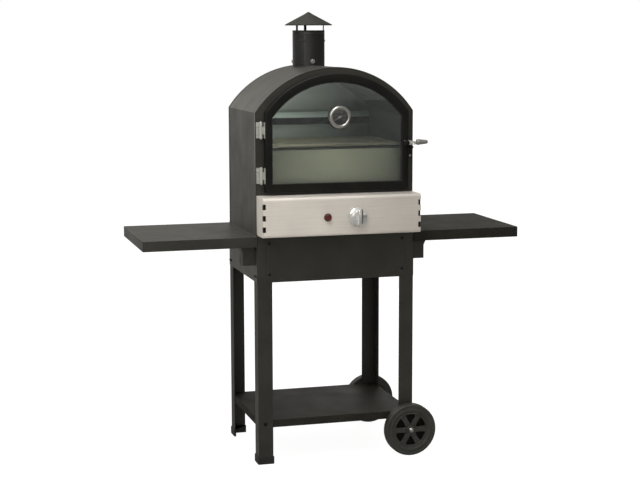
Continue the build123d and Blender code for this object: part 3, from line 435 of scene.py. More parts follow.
# Painted shade towards the right, plus painted light and shade from front to back: darker at the front and
# brighter than its tone at the rear.
STONE = painted_light_grade(painted_light_grade(cordierite_stone("fired_cordierite"), (-120, 120), (0.85, 0.45)),
               (STONE_FRONT_Y + 20, STONE_FRONT_Y + 260), (0.36, 1.8), along="Y")
WOOL = fibre("ceramic_wool", ("#cfcbc0", "#ebe8df"), 3.0)
ROPE = fibre("graphite_glass_rope", ("#262624", "#41403c"), 2.2)
IRON = cast_iron("sand_cast_iron")
GLASS = float_glass("toughened_float_glass", "#eef3ef")
LENS = float_glass("dial_window_glass", "#f7f8f7")
TYRE_PLASTIC = moulded_plastic("tread_polyethylene", ("#272724", "#31312d"), 0.5)
WHEEL_PLASTIC = moulded_plastic("polypropylene_moulded", ("#272724", "#31312d"), 0.45)
# Painted shade: near black for the web deep in the wheel's pockets.
POCKET_SHADE_PLASTIC = moulded_plastic("polypropylene_pocket_painted_shade", ("#0b0b0a", "#0f0f0e"), 0.85, 1.2, 0.1)
FOOT_PLASTIC = moulded_plastic("polythene_moulded", ("#161615", "#1f1f1e"), 0.55)
RED_PLASTIC = moulded_plastic("red_abs_moulded", ("#4c110e", "#571712"), 0.35)
BLACK_PLASTIC = moulded_plastic("black_nylon_moulded", ("#121211", "#1a1a19"), 0.45)
DIAL_ENAMEL = powder_coat("dial_grey_enamel", ("#262423", "#2f2d2c"), 0.6, 0.04)
MARK_PAINT = powder_coat("pad_printed_cream", ("#8f8a80", "#9d978d"), 0.5)
SIGNAL_PAINT = powder_coat("pointer_ivory_enamel", ("#8c877e", "#9c968c"), 0.4)
# Painted shadow: the black of the patch below the dial's hub.
DIAL_SHADOW_PAINT = powder_coat("dial_painted_shadow_black", ("#020202", "#040404"), 0.9, 0.0)

NODE_FINISH = {
    "powder_coat": CHARCOAL, "cast_paint": IRON, "stainless": PANEL_STEEL, "liner_steel": LINER_STEEL,
    "zinc_steel": ZINC, "chrome": CHROME, "glass": GLASS, "stone": STONE, "wool": WOOL, "seal_rope": ROPE,
    "cast_burner": IRON, "brass": BRASS, "red_plastic": RED_PLASTIC, "black_plastic": BLACK_PLASTIC,
    "tyre_plastic": TYRE_PLASTIC, "dial_face": DIAL_ENAMEL, "needle_paint": SIGNAL_PAINT,
}
OWN_FINISH = {
    "flame_spreader": FASCIA_STEEL, "foot_caps": FOOT_PLASTIC, "thermometer_lens": LENS,
    "latch_keeper": BLACK_STEEL, "glass_retainer": STOVE_BLACK, "bottom_shelf": TRAY_PAINTED_SHADE_COAT,
    "shelf_right": SHELF_PAINTED_SHADE_COAT, "apron_left": APRON_PAINTED_LIGHT_COAT, "cap_struts": CAP_COAT,
    "hinges_fixed": HINGE_STEEL, "hinges_door": HINGE_STEEL, "latch_lever": HINGE_STEEL,
    "latch_pivot": BLACK_STEEL,
}


# ---- mesh building --------------------------------------------------------
def join(*shapes):
    """Several (points, faces) shapes as one."""
    points, faces = [], []
    for more_points, more_faces in shapes:
        base = len(points)
        points += list(more_points)
        faces += [tuple(base + i for i in face) for face in more_faces]
    return points, faces


def moved(shape, turn=None, by=(0, 0, 0)):
    turn = turn or Matrix.Identity(3)
    return [turn @ Vector(p) + Vector(by) for p in shape[0]], shape[1]


def grid(rows, ends=False):
    """Faces over closed rows of points; ends caps the first and last row."""
    points = [Vector(p) for row in rows for p in row]
    count = len(rows[0])
    faces = []
    for i in range(len(rows) - 1):
        for j in range(count):
            k = (j + 1) % count
            faces.append((i * count + j, i * count + k, (i + 1) * count + k, (i + 1) * count + j))
    if ends:
        faces.append(tuple(reversed(range(count))))
        faces.append(tuple((len(rows) - 1) * count + j for j in range(count)))
    return points, faces


def lathe(profile, steps=64, axis="Y", closed=False, start=0.0):
    """A profile of (radius, place along the axis from start) turned round it; closed joins its ends."""
    rows = []
    for radius, along in list(profile) + ([profile[0]] if closed else []):
        along += start
        row = []
        for i in range(steps):
            angle = tau * i / steps
            a, b = radius * cos(angle), radius * sin(angle)
            row.append({"X": (along, a, b), "Y": (a, along, -b), "Z": (a, b, along)}[axis])
        rows.append(row)
    return grid(rows)


def mirrored(profile):
    """A profile's other half, from its far end back."""
    return [(radius, -along) for radius, along in reversed(profile)]


def prism(outline, y0, y1):
    """An outline of (x, z) points made solid from y0 to y1."""
    return grid([[(x, y, z) for x, z in outline] for y in (y0, y1)], ends=True)


def brick(low, high):
    (x0, y0, z0), (x1, y1, z1) = low, high
    return prism([(x0, z0), (x1, z0), (x1, z1), (x0, z1)], y0, y1)


def arch_line(spec, out=0.0, steps=72):
    """An arch grown outwards by out, as (x, z) points: bottom left, bottom right, then the crown."""
    half, radius = spec["half"] + out, spec["r"] + out
    reach = asin(min(1.0, half / radius))
    line = [(spec["x"] - half, spec["low"] - out), (spec["x"] + half, spec["low"] - out)]
    for i in range(steps + 1):
        angle = reach - 2 * reach * i / steps
        line.append((spec["x"] + radius * sin(angle), spec["z"] + radius * cos(angle)))
    return line


def piece(name, shape, material, body, replaced=(), edge=0.0, sharp=35):
    """Makes a piece from a shape in millimetres; edge rounds its sharp edges by that many millimetres."""
    mesh = bpy.data.meshes.new(name)
    mesh.from_pydata([at(*p) for p in shape[0]], [], shape[1])
    dressed(name, mesh, material, body, replaced, edge, sharp)


def dressed(name, mesh, material, body, replaced, edge, sharp):
    """Cleans and shades a mesh and puts it on its body, for the nodes it replaces."""
    cleaner = bmesh.new()
    cleaner.from_mesh(mesh)
    bmesh.ops.remove_doubles(cleaner, verts=cleaner.verts, dist=0.004 * MM)
    bmesh.ops.dissolve_degenerate(cleaner, edges=cleaner.edges, dist=0.002 * MM)
    bmesh.ops.recalc_face_normals(cleaner, faces=cleaner.faces)
    cleaner.to_mesh(mesh)
    cleaner.free()
    mesh.materials.append(material)
    mesh.shade_smooth()
    mesh.set_sharp_from_angle(angle=radians(sharp))
    made = put_in_scene(name, mesh)
    if edge:
        bevel = made.modifiers.new("rounded_edges", "BEVEL")
        bevel.width = edge * MM
        bevel.segments = 2
        bevel.limit_method = "ANGLE"
        bevel.angle_limit = radians(sharp)
        bevel.use_clamp_overlap = False
        bevel.harden_normals = True
    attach(made, body)
    if replaced:
        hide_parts(*replaced)


def refined(node, edge):
    """A CAD node made over with flat faces merged, its curves shaded smooth and its edges rounded."""
    worker = bmesh.new()
    worker.from_mesh(frame["nodes"][node].data)
    bmesh.ops.remove_doubles(worker, verts=worker.verts, dist=0.002 * MM)
    bmesh.ops.dissolve_limit(worker, angle_limit=radians(0.4), verts=worker.verts, edges=worker.edges)
    mesh = bpy.data.meshes.new(node + "_made")
    worker.to_mesh(mesh)
    worker.free()
    slot = slot_of_node[node]
    material = OWN_FINISH.get(node, NODE_FINISH[slot])
    dressed(node + "_made", mesh, material, body_of_node[node], [node], edge, 32)


FACING = {side: Matrix.Rotation(turn, 3, "Z")
          for side, turn in (("front", 0), ("rear", pi), ("left", -pi / 2), ("right", pi / 2))}


def head(rings, radius, height, steps, hexagon_size=1.0):
    """A fastener head on y = 0 that faces -Y, from rings of (width, rise, whether six-sided)."""
    rows = []
    for share, rise, six_sided in rings:
        row = []
        for i in range(steps):
            angle = tau * i / steps
            from_flat = (angle + pi / 6) % (pi / 3) - pi / 6
            flat = cos(pi / 6) / cos(from_flat) * hexagon_size if six_sided else 1.0
            reach = radius * share * flat
            row.append((reach * cos(angle), -height * rise, reach * sin(angle)))
        rows.append(row)
    return grid(rows)


def socket_screw(radius, height):
    """A domed screw head with a hexagon socket."""
    return head(((1.0, 0.0, False), (1.0, 0.35, False), (0.9, 0.72, False), (0.68, 1.0, False),
                 (0.5, 1.0, True), (0.46, 0.45, True), (0.0, 0.4, True)), radius, height, 24)


def hex_bolt(radius, height):
    """A hexagon head with a washer face and a chamfered crown."""
    return head(((1.25, 0.0, False), (1.25, 0.16, False), (1.0, 0.16, True), (1.0, 0.85, True),
                 (0.84, 1.0, False), (0.0, 1.0, False)), radius, height, 36, 1.06)


def heads(name, shape, places, material):
    """The same fastener head at several (facing, x, y, z) places on the oven."""
    made = join(*[moved(shape, FACING[facing], spot) for facing, *spot in places])
    piece(name, made, material, "oven", sharp=30)


# ---- wheels ---------------------------------------------------------------
SPOKES = 6
AXLE_BORE_R = 5.15


def wheel_tyre(half):
    """A crowned tread with three grooves between two stepped side walls."""
    crown = []
    for i in range(13):
        along = -half + 3.6 + (2 * half - 7.2) * i / 12
        groove = 1.1 if i in (3, 6, 9) else 0.0
        crown.append((WHEEL_R - groove - 0.5 * (along / half) ** 4, along))
    bead = ((0.1, 3.2), (3, 1.6), (7, 0.9), (8, 0.2), (11, 0.2), (12, 0.8))
    shoulder = ((9, 0.6), (8, 0), (5, 0), (2.2, 0.9))
    wall = [(RIM_R + out, deep - half) for out, deep in bead]
    wall += [(WHEEL_R - under, deep - half) for under, deep in shoulder]
    return lathe(wall + crown + mirrored(wall), 128, closed=True)


def wheel_rim(half, ring_in):
    """The rim's ring and hub with the spokes between them, wider where they meet either."""
    face = half_size("wheel_front_rim").y
    ring = [(RIM_R, 3.4 - half), (RIM_R - 1.2, 2.6 - half), (ring_in + 1.2, 2.6 - half),
            (ring_in, 3.8 - half), (ring_in - 0.6, -3.4)]
    hub = [(16.4, -3.6), (15.6, 1.4 - face), (14.4, 0.2 - face), (10, -face), (8.6, 1 - face),
           (5.2, 1 - face)]
    rounds = [lathe(part + mirrored(part), 96, closed=True) for part in (ring, hub)]
    reach = [14 + (ring_in - 13) * k / 14 for k in range(15)]
    edge = [(r, 8.5 + 2.5 * exp(-(r - 14) / 5) + 6.0 * exp(-(ring_in + 1 - r) / 4)) for r in reach]
    outline = edge + [(r, -w) for r, w in reversed(edge)]
    spokes = []
    for i in range(SPOKES):
        c, s = cos(tau * i / SPOKES), sin(tau * i / SPOKES)
        turned = [(r * c - w * s, r * s + w * c) for r, w in outline]
        spokes.append(prism(list(reversed(turned)), -half + 5.5, half - 5.5))
    return join(*rounds, *spokes)


def make_wheels():
    half = half_size("wheel_front_tyre").y
    ring_in = RIM_R - 6
    tyre, rim = wheel_tyre(half), wheel_rim(half, ring_in)
    # The web is near black: painted shade in the pockets between the spokes.
    web = lathe([(12, -2.8), (ring_in + 2, -2.8), (ring_in + 2, 2.8), (12, 2.8)], 96, closed=True)
    for end in ("front", "rear"):
        body = "wheel_" + end
        place = (WHEEL_X, middle(body + "_tyre").y, WHEEL_Z)
        piece("tyre_" + end, moved(tyre, by=place), TYRE_PLASTIC, body, [body + "_tyre"],
              sharp=50)
        piece("rim_" + end, moved(rim, by=place), WHEEL_PLASTIC, body, [body + "_rim"],
              edge=0.7, sharp=40)
        piece("rim_web_" + end, moved(web, by=place), POCKET_SHADE_PLASTIC, body, sharp=40)


def make_axle_ends():
    """A pressed cap on each end of the axle, and a spacer between each wheel and its leg."""
    low, high = span("axle_fixings")
    dome = lathe([(AXLE_BORE_R, 7.6), (8.6, 7.8), (8.9, 7.0), (8.4, 6.2), (7.7, 5.6), (7.7, 3.6), (7.0, 2.0),
                  (5.4, 0.7), (3.2, 0.1), (1.6, 0.0), (0.9, 0.5), (0.0, 0.6)], 48)
    caps = [moved(dome, FACING[facing], (WHEEL_X, end, WHEEL_Z))
            for end, facing in ((low.y, "front"), (high.y, "rear"))]
    ring = lathe([(AXLE_BORE_R, 0.2), (5.4, 0), (9.4, 0), (10, 0.5), (10, 2.5), (9.4, 3), (5.4, 3),
                  (AXLE_BORE_R, 2.8)], 48, closed=True)
    spacers = [moved(ring, by=(WHEEL_X, y, WHEEL_Z)) for y in (-LEG_Y - 3, LEG_Y)]
    piece("axle_caps_and_spacers", join(*caps, *spacers), ZINC, "oven", ["axle_fixings"],
          sharp=40)


# ---- controls -------------------------------------------------------------
def rounded_slab(half_x, half_z, y, power=5.0, steps=64):
    """One row of a rounded oblong, for lofting a knob's bar."""
    row = []
    for i in range(steps):
        c, s = cos(tau * i / steps), sin(tau * i / steps)
        row.append((copysign(abs(c) ** (2 / power), c) * half_x, y,
                    -copysign(abs(s) ** (2 / power), s) * half_z))
    return row


def make_knob():
    """A die-cast bar on a conical skirt, a dark inlay beside the bar as its painted shadow, and a pointer
    line.
    """
    low, high = span("gas_knob")
    back, front = PANEL_Y - 5.5, low.y
    centre = (KNOB.x, 0, KNOB.z)
    skirt = lathe([(6, 0), (30.0, 0), (30.8, -0.8), (31, -2.4), (30.7, -3.6), (30.0, -4.4), (16.5, -9.1),
                   (14.5, -9.5), (0, -9.6)], 96, start=back)
    stages = ((8.6, 29.0, back - 6), (8.4, 28.6, back - 9.5), (8.0, 27.8, back - 14), (7.3, 26.4, front + 7),
              (6.9, 25.2, front + 3), (6.2, 23.8, front + 1), (4.8, 21.8, front))
    bar = grid([rounded_slab(x, z, y) for x, z, y in stages], ends=True)
    spindle = lathe([(4, back + 1), (4, high.y)], 32)
    collar = lathe([(6, PANEL_Y - 2.6), (6, back - 1)], 32)
    whole = join(skirt, bar, spindle, collar)
    piece("knob_die_cast", moved(whole, by=centre), SATIN_CHROME, "knob", ["gas_knob"], edge=0.5,
          sharp=38)
    # The inlay's black is painted shadow that the bar casts on the skirt.
    bar_shadow = grid([rounded_slab(9.0, 24.0, back - deep, 6.0) for deep in (10.0, 5.0)], ends=True)
    piece("knob_bar_painted_shadow", moved(bar_shadow, by=(KNOB.x + 6.0, 0, KNOB.z)), BLACK_PLASTIC, "knob")
    groove = brick((-0.8, front + 0.1, 8), (0.8, front + 2, 21))
    piece("knob_pointer_line", moved(groove, by=centre), BLACK_PLASTIC, "knob", edge=0.2)
    ring = lathe([(11, -0.1), (34.5, -0.1), (35, -0.5), (34.6, -0.9), (12, -0.9), (11, -0.5)], 72,
                 closed=True, start=PANEL_Y)
    piece("knob_backing_ring", moved(ring, by=centre), PANEL_STEEL, "oven", sharp=40)


def make_button():
    """The red push cap in its collar, with the threaded barrel and nut behind the panel."""
    low, high = span("igniter_button")
    front, r, stem = low.y, BUTTON_R, BUTTON_R - 2.5
    centre = (BUTTON.x, 0, BUTTON.z)
    cap = lathe([(stem, high.y), (stem, PANEL_Y + 1), (r - 0.3, PANEL_Y + 1), (r, PANEL_Y + 0.4),
                 (r - 0.1, front + 2.2), (r - 0.6, front + 0.9), (r - 1.5, front + 0.15), (r - 2.4, front),
                 (r - 4.2, front + 0.5), (3.5, front + 1.0), (0, front + 1.2)], 64)
    piece("igniter_cap", moved(cap, by=centre), RED_PLASTIC, "igniter", ["igniter_button"])
    lip, tail = span("igniter_barrel")[0].y, span("igniter_barrel")[1].y
    collar = lathe([(r + 0.2, PANEL_Y + 6), (r + 0.2, lip + 0.8), (r + 0.7, lip), (r + 1.7, lip),
                    (r + 2.5, lip + 0.9), (r + 2.5, PANEL_Y - 0.1), (r + 0.5, PANEL_Y),
                    (r + 0.5, PANEL_Y + 41), (4.6, PANEL_Y + 43.5), (4, tail - 1), (3, tail), (0, tail)], 64)
    threads = []
    for i in range(10):
        y = PANEL_Y + 8 + 2.2 * i
        threads.append(lathe([(r + 0.4, y - 0.9), (r + 0.95, y), (r + 0.4, y + 0.9)], 48))
    nut = moved(hex_bolt(r + 1.0, 5), FACING["rear"], (0, PANEL_Y + 1.6, 0))
    piece("igniter_housing", moved(join(collar, nut, *threads), by=centre), BLACK_PLASTIC, "oven",
          ["igniter_barrel"], sharp=40)


# ---- thermometer ----------------------------------------------------------
def dial_turn(share):
    """The dial's angle at a share of its scale, clockwise from the top."""
    return radians(DIAL_SWEEP * (share - 0.5))


def make_dial_number(index, share, reach, y):
    words = bpy.data.curves.new("dial_number", "FONT")
    words.body = str(100 * index)
    words.size = 4.6 * MM
    words.align_x = "CENTER"
    words.align_y = "CENTER"
    words.extrude = 0.12 * MM
    holder = put_in_scene("dial_number_%d" % index, words)
    mesh = bpy.data.meshes.new_from_object(holder.evaluated_get(bpy.context.evaluated_depsgraph_get()))
    bpy.data.objects.remove(holder)
    angle = dial_turn(share)
    where = at(THERMO.x + reach * sin(angle), y, THERMO.z + reach * cos(angle))
    mesh.transform(Matrix.Translation(where) @ Matrix.Rotation(pi / 2, 4, "X"))
    dressed("dial_number_%d" % index, mesh, MARK_PAINT, "door", (), 0, 30)


def make_thermometer():
    """Bezel, enamelled plate, scale and numbers, needle with its hub, stop pin, a black patch of painted
    shadow below the hub, and a gasket whose dark ring is partly painted shadow round the bezel.
    """
    back, front = DOOR_FRONT_Y + SHEET, span("thermometer_case")[0].y
    bore, inner, rim = 4.1, THERMO_R - 11.0, THERMO_R
    centre = (THERMO.x, 0, THERMO.z)
    case = lathe([(bore, back - 3), (inner, back - 3), (inner, front + 3.4), (inner + 0.6, front + 1.6),
                  (inner + 2.4, front + 0.4), (inner + 5.0, front), (inner + 8.0, front + 0.6),
                  (rim - 0.8, front + 2.8), (rim, front + 5), (rim, front + 8.2), (rim - 1.4, front + 9.0),
                  (rim - 1.4, back - 0.4), (rim - 2.0, back), (bore, back)], 96, closed=True)
    piece("dial_bezel", moved(case, by=centre), BEZEL_STEEL, "door", ["thermometer_case"], sharp=40)
    face_y = back - 6.0
    disc = lathe([(bore, 3), (inner - 0.1, 3), (inner - 0.1, 0.5), (inner - 0.5, 0), (bore, 0)], 96,
                 closed=True, start=face_y)
    piece("dial_plate", moved(disc, by=centre), DIAL_ENAMEL, "door", ["thermometer_dial"],
          sharp=40)
    marks = []
    for i in range(DIAL_STEPS + 1):
        long = 4.0 if i % 10 == 0 else 2.8 if i % 5 == 0 else 1.8
        wide = 0.4 if i % 5 == 0 else 0.22
        tick = brick((-wide, face_y - 0.25, inner - 1.6 - long), (wide, face_y + 0.1, inner - 1.6))
        marks.append(moved(tick, Matrix.Rotation(dial_turn(i / DIAL_STEPS), 3, "Y")))
    piece("dial_graduations", moved(join(*marks), by=centre), MARK_PAINT, "door")
    for i in range(6):
        make_dial_number(i, i / 5, inner - 9.0, face_y - 0.15)
    hub_y = back - 8.5
    hub = lathe([(1.2, 6.5), (1.2, 0), (3.0, 0), (3.2, -0.6), (2.4, -1.3), (0, -1.5)], 40, start=hub_y)
    edge = [(-1.7, -9), (-2.1, -6), (-1.3, -3.5), (-1.1, 6), (-0.25, inner - 4.2)]
    outline = edge + [(-x, z) for x, z in reversed(edge)]
    hand = moved(prism(outline, hub_y - 1.2, hub_y - 0.4), Matrix.Rotation(dial_turn(0), 3, "Y"))
    piece("dial_pointer", moved(join(hub, hand), by=centre), SIGNAL_PAINT, "needle",
          ["thermometer_needle"], edge=0.12)
    # A black patch below the hub: painted shadow of the hub and needle.
    shadow_outline = [(-4.0, -17.5), (4.0, -17.5), (6.5, -14.5), (6.5, -7.5), (-6.5, -7.5), (-6.5, -14.5)]
    piece("dial_painted_shadow", moved(prism(shadow_outline, face_y - 0.3, face_y + 0.1), by=centre), DIAL_SHADOW_PAINT, "door")
    # A gasket whose dark ring is also painted shadow round the bezel.
    gasket = lathe([(rim - 1.2, 0.2), (rim - 1.2, -1.2), (rim + 1.6, -1.2), (rim + 2.2, -0.7),
                    (rim + 2.2, 0.2)], 96, closed=True, start=back)
    piece("dial_gasket_painted_shadow", moved(gasket, by=centre), ROPE, "door", sharp=40)
    stop = lathe([(1.6, 0), (1.6, -1.0), (1.0, -1.4), (0, -1.5)], 24, start=face_y)
    low_spot = (THERMO.x, 0, THERMO.z - inner + 7)
    piece("dial_stop_pin", moved(stop, by=low_spot), BLACK_PLASTIC, "door")


# ---- door -----------------------------------------------------------------
def door_band(section):
    """Sweeps a closed section of (share of the frame's width, outward growth, y) round the door's arch."""
    rows = []
    for share, out, y in section + section[:1]:
        spec = {key: DOOR_OUTER[key] * (1 - share) + DOOR_INNER[key] * share for key in DOOR_OUTER}
        rows.append([(x, y, z) for x, z in arch_line(spec, out)])
    return grid(rows)


def make_door():
    """The pressed ring, which carries the glass behind its inner edge, and the black bead round the glass."""
    front, rear = DOOR_FRONT_Y, DOOR_REAR_Y
    section = [(0, 0, rear), (0, 0, front + 4), (0, -0.35, front + 2.4), (0, -1.2, front + 1.2),
               (0, -2.4, front + 0.35), (0, -4, front), (1, 1.8, front), (1, 0.7, front + 0.25),
               (1, 0.0, front + 0.9), (1, 0.0, front + 1.5), (0, -4, front + 1.5), (0, -1.5, front + 3.5),
               (0, -1.5, rear)]
    piece("door_ring", door_band(section), STOVE_BLACK, "door", ["door_frame"], sharp=45)
    bead = [(1, 0.2, front + 1.2), (1, -0.9, front + 0.5), (1, -2.0, front + 0.9), (1, -2.4, front + 1.45),
            (1, 0.2, front + 1.45)]
    piece("glass_bead", door_band(bead), BLACK_PLASTIC, "door", sharp=45)


def make_seal():
    """A plaited rope round the door: its outline ripples as two sets of strands cross."""
    line = arch_line(DOOR_INNER, 9.0, 200)
    y = middle("door_seal").y
    half_wide, half_deep = 4.8, half_size("door_seal").y - 0.2
    path = []
    for (x, z), (next_x, next_z) in zip(line, line[1:] + line[:1]):
        bits = max(1, int(hypot(next_x - x, next_z - z) / 5))
        for k in range(bits):
            path.append(Vector((x + (next_x - x) * k / bits, y, z + (next_z - z) * k / bits)))
    rows = []
    for i, spot in enumerate(path):
        along = (path[(i + 1) % len(path)] - path[i - 1]).normalized()
        side = Vector((along.z, 0, -along.x))
        row = []
        for j in range(16):
            angle = tau * j / 16
            plait = 1 - 0.09 * abs(sin(2 * angle + i * 0.9)) - 0.07 * abs(sin(2 * angle - i * 0.9))
            across = side * half_wide * cos(angle) + Vector((0, half_deep * sin(angle), 0))
            row.append(spot + across * plait)
        rows.append(row)
    piece("braided_seal", grid(rows + rows[:1]), ROPE, "door", ["door_seal"], sharp=80)


def make_hinge_details():
    """Screws in the fixed leaves and a rounded knob on each end of both pins."""
    refined("hinges_fixed", 0.5)
    refined("hinges_door", 0.5)
    screw_y = span("front_surround")[0].y - 2.0
    places = [("front", HINGE_X, screw_y, low + up) for low in HINGE_LOWS for up in (12, 40)]
    heads("hinge_leaf_screws", socket_screw(3.4, 1.9), places, HINGE_STEEL)
    knob = lathe([(2.4, 0), (3.8, 0.3), (4.2, 1.0), (3.9, 1.8), (2.8, 2.6), (1.2, 3.0), (0, 3.1)], 32, "Z")
    pins = []
    for low in HINGE_LOWS:
        pins.append(moved(knob, by=(HINGE_PIN_X, HINGE_PIN_Y, low + HINGE_TALL)))
        pins.append(moved(knob, Matrix.Rotation(pi, 3, "X"), (HINGE_PIN_X, HINGE_PIN_Y, low)))
    piece("hinge_pin_heads", join(*pins), HINGE_STEEL, "oven")


def make_latch():
    """A turned grip that tapers outwards, the pivot's cap, and the screw that holds the keeper."""
    grip, half = middle("latch_grip"), half_size("latch_grip")
    long, root, tip = 2 * half.x, half.z, 6.5
    profile = [(2.0, 0), (root - 2.5, 0.2), (root - 0.8, 1.2), (root, 3.2), (root - 0.3, 6)]
    for i in range(1, 9):
        share = i / 8
        profile.append((root - 0.3 + (tip - root + 0.3) * share ** 0.8, 6 + (long - 10) * share))
    profile += [(tip - 0.6, long - 2), (tip - 2.2, long - 0.6), (2.0, long), (0, long)]
    handle = lathe(profile, 48, "X", start=grip.x - half.x)
    piece("latch_handle", moved(handle, by=(0, grip.y, grip.z)), GRIP_STEEL, "latch",
          ["latch_grip"], sharp=40)
    nut, arm_y = middle("latch_pivot"), span("latch_lever")[0].y
    dome = lathe([(7.6, -0.4), (10.0, -0.4), (10.4, -1.2), (10.0, -3.4), (8.6, -5.2), (6.0, -6.4),
                  (3.0, -6.9), (0, -7.0)], 48, start=arm_y)
    piece("latch_pivot_cap", moved(dome, by=(nut.x, 0, nut.z)), STOVE_BLACK, "door")
    keep_low, keep_high = span("latch_keeper")
    foot = ("front", keep_high.x - 7.0, span("front_surround")[0].y - 3.9, keep_low.z + 8.0)
    heads("keeper_screw", socket_screw(4.4, 2.2), [foot], ZINC)
    refined("latch_lever", 0.5)
    refined("latch_pivot", 0.4)
    refined("latch_keeper", 0.4)


# ---- chimney --------------------------------------------------------------
def on_pipe(degrees, z, shape):
    """A shape that faces -Y, set on the flue at an angle and height."""
    angle = radians(degrees)
    reach = FLUE_R * 0.995
    return moved(shape, Matrix.Rotation(angle + pi / 2, 3, "Z"),
                 (reach * cos(angle), FLUE_Y + reach * sin(angle), z))


def make_flue():
    """The pipe with its rolled bead and top, and a lapped seam down its front left."""
    low, high = FLUE_LOW_Z, FLUE_TOP_Z
    outer, inner = FLUE_R - 0.3, FLUE_R - 1.2
    wall = [(inner, low), (outer, low), (outer, high - 14), (FLUE_R, high - 12.6), (FLUE_R, high - 11.4),
            (outer, high - 10), (outer, high - 3), (FLUE_R, high - 2.2), (FLUE_R, high - 0.6),
            (FLUE_R - 0.6, high), (inner, high - 0.2)]
    rows = []
    for z in (low + 1, high - 15):
        row = []
        for degrees, radius in ((-3.4, outer - 0.3), (-3.0, FLUE_R), (3.0, FLUE_R), (3.4, outer - 0.3)):
            angle = radians(-118 + degrees)
            row.append((radius * cos(angle), radius * sin(angle), z))
        rows.append(row)
    pipe = join(lathe(wall, 128, "Z", closed=True), grid(rows, ends=True))
    piece("flue_pipe", moved(pipe, by=(0, FLUE_Y, 0)), FLUE_COAT, "oven", ["chimney_pipe"],
          sharp=40)


def make_rain_cap():
    """A shallow cone with a rolled rim, closed by one lapped seam."""
    drop = (CAP_TOP_Z - CAP_RIM_Z - 3) / CAP_R
    cone = [(0, CAP_TOP_Z), (3.5, CAP_TOP_Z - 0.7)]
    for i in range(1, 9):
        radius = 3.5 + (CAP_R - 5.5) * i / 8
        cone.append((radius, CAP_TOP_Z - drop * radius))
    rolled = ((0.6, 3.0), (0, 2.0), (0.2, 0.6), (1.2, 0), (2.2, 0.9), (3.4, 3.2))
    cone += [(CAP_R - inward, CAP_RIM_Z + up) for inward, up in rolled]
    cone += [(2, CAP_TOP_Z - drop * 2 - SHEET), (0, CAP_TOP_Z - SHEET - 0.6)]
    angle = radians(-150)
    rows = []
    for radius in (8.0, CAP_R - 4.0):
        row = []
        for width, lift in ((-4.2, -0.4), (-3.6, 0.45), (3.6, 0.45), (4.2, -0.4)):
            x = radius * cos(angle) - width * sin(angle)
            y = radius * sin(angle) + width * cos(angle)
            row.append((x, y, CAP_TOP_Z - drop * hypot(x, y) + lift))
        rows.append(row)
    cap = join(lathe(cone, 128, "Z"), grid(rows, ends=True))
    piece("rain_cap", moved(cap, by=(0, FLUE_Y, 0)), CAP_COAT, "oven", ["chimney_cap"],
          sharp=40)


def make_flue_fittings():
    """The struts that carry the cap, the spigot that the pipe stands on, and what fastens them."""
    refined("cap_struts", 0.3)
    refined("flue_spigot", 0.3)
    bolts = [on_pipe(-91 + turn, FLUE_BOLT_Z, hex_bolt(6.6, 4.6)) for turn in (0, 120, 240)]
    piece("flue_bolts", join(*bolts), ZINC, "oven", sharp=30)
    dome = lathe([(3.3, 0.1), (3.3, -0.5), (2.7, -1.2), (1.6, -1.7), (0, -1.9)], 32)
    rivets = [on_pipe(STRUT_DEGREES + turn + more, FLUE_TOP_Z - 36, dome)
              for turn in (0, 120, 240) for more in (17, 32)]
    piece("strut_rivets", join(*rivets), FLUE_COAT, "oven", sharp=50)


# ---- trolley fasteners ----------------------------------------------------
def make_fasteners():
    """Screws of the aprons, tray and rear panel, and the rivets that hold the roof sheet's sides."""
    wall = LEG_Y + 1.4
    places = [(facing, x, y, z) for x in (-230.0, 230.0) for z in (642.0, 745.0)
              for facing, y in (("front", -wall), ("rear", wall))]
    side = LEG_X + 1.4
    places += [(facing, x, y, z) for y in (-198.0, -178.0, 178.0, 198.0) for z in (634.0, 728.0)
               for facing, x in (("left", -side), ("right", side))]
    heads("apron_screws", socket_screw(4.6, 2.6), places, BLACK_STEEL)
    tray_z = middle("bottom_shelf").z
    places = [(facing, x, y, tray_z) for x in (-246.0, 246.0)
              for facing, y in (("front", -LEG_Y), ("rear", LEG_Y))]
    heads("tray_bolts", hex_bolt(5.0, 3.6), places, BLACK_STEEL)
    rear_face = span("back_panel")[1].y
    places = [("rear", x, rear_face, z) for x in (-225.0, -110.0, 0.0, 110.0, 225.0)
              for z in (790.0, 880.0, 1090.0)]
    heads("back_panel_screws", socket_screw(4.0, 2.2), places, BLACK_STEEL)
    places = [(facing, x, y, 792.0 + 88.0 * i) for y in (-185.0, 190.0) for i in range(5)
              for facing, x in (("left", -LEG_X + 0.1), ("right", LEG_X - 0.1))]
    rivet = lathe([(3.4, 0.2), (3.4, -0.4), (2.7, -1.1), (1.5, -1.5), (0, -1.6)], 32)
    heads("wrap_rivets", rivet, places, CHARCOAL)


def weld_run(x, y, z):
    """A rippled bead of weld, 40 mm up from a point."""
    sides = 10
    side = Vector((0, 0, 1)).orthogonal().normalized()
    other = Vector((0, 0, 1)).cross(side)
    rows = []
    for i in range(11):
        size = 1.9 * (0.8 + 0.25 * (i % 2))
        rows.append([Vector((x, y, z + 4 * i)) + side * cos(tau * j / sides) * size
                     + other * sin(tau * j / sides) * size for j in range(sides)])
    return grid(rows, ends=True)


def make_welds():
    """Weld runs where the shelf brackets meet the side aprons."""
    runs = [weld_run(side * (LEG_X + 1.9), y, 680) for side in (-1, 1) for y in (-190.0, -152.0)]
    piece("bracket_welds", join(*runs), CHARCOAL, "oven", sharp=70)


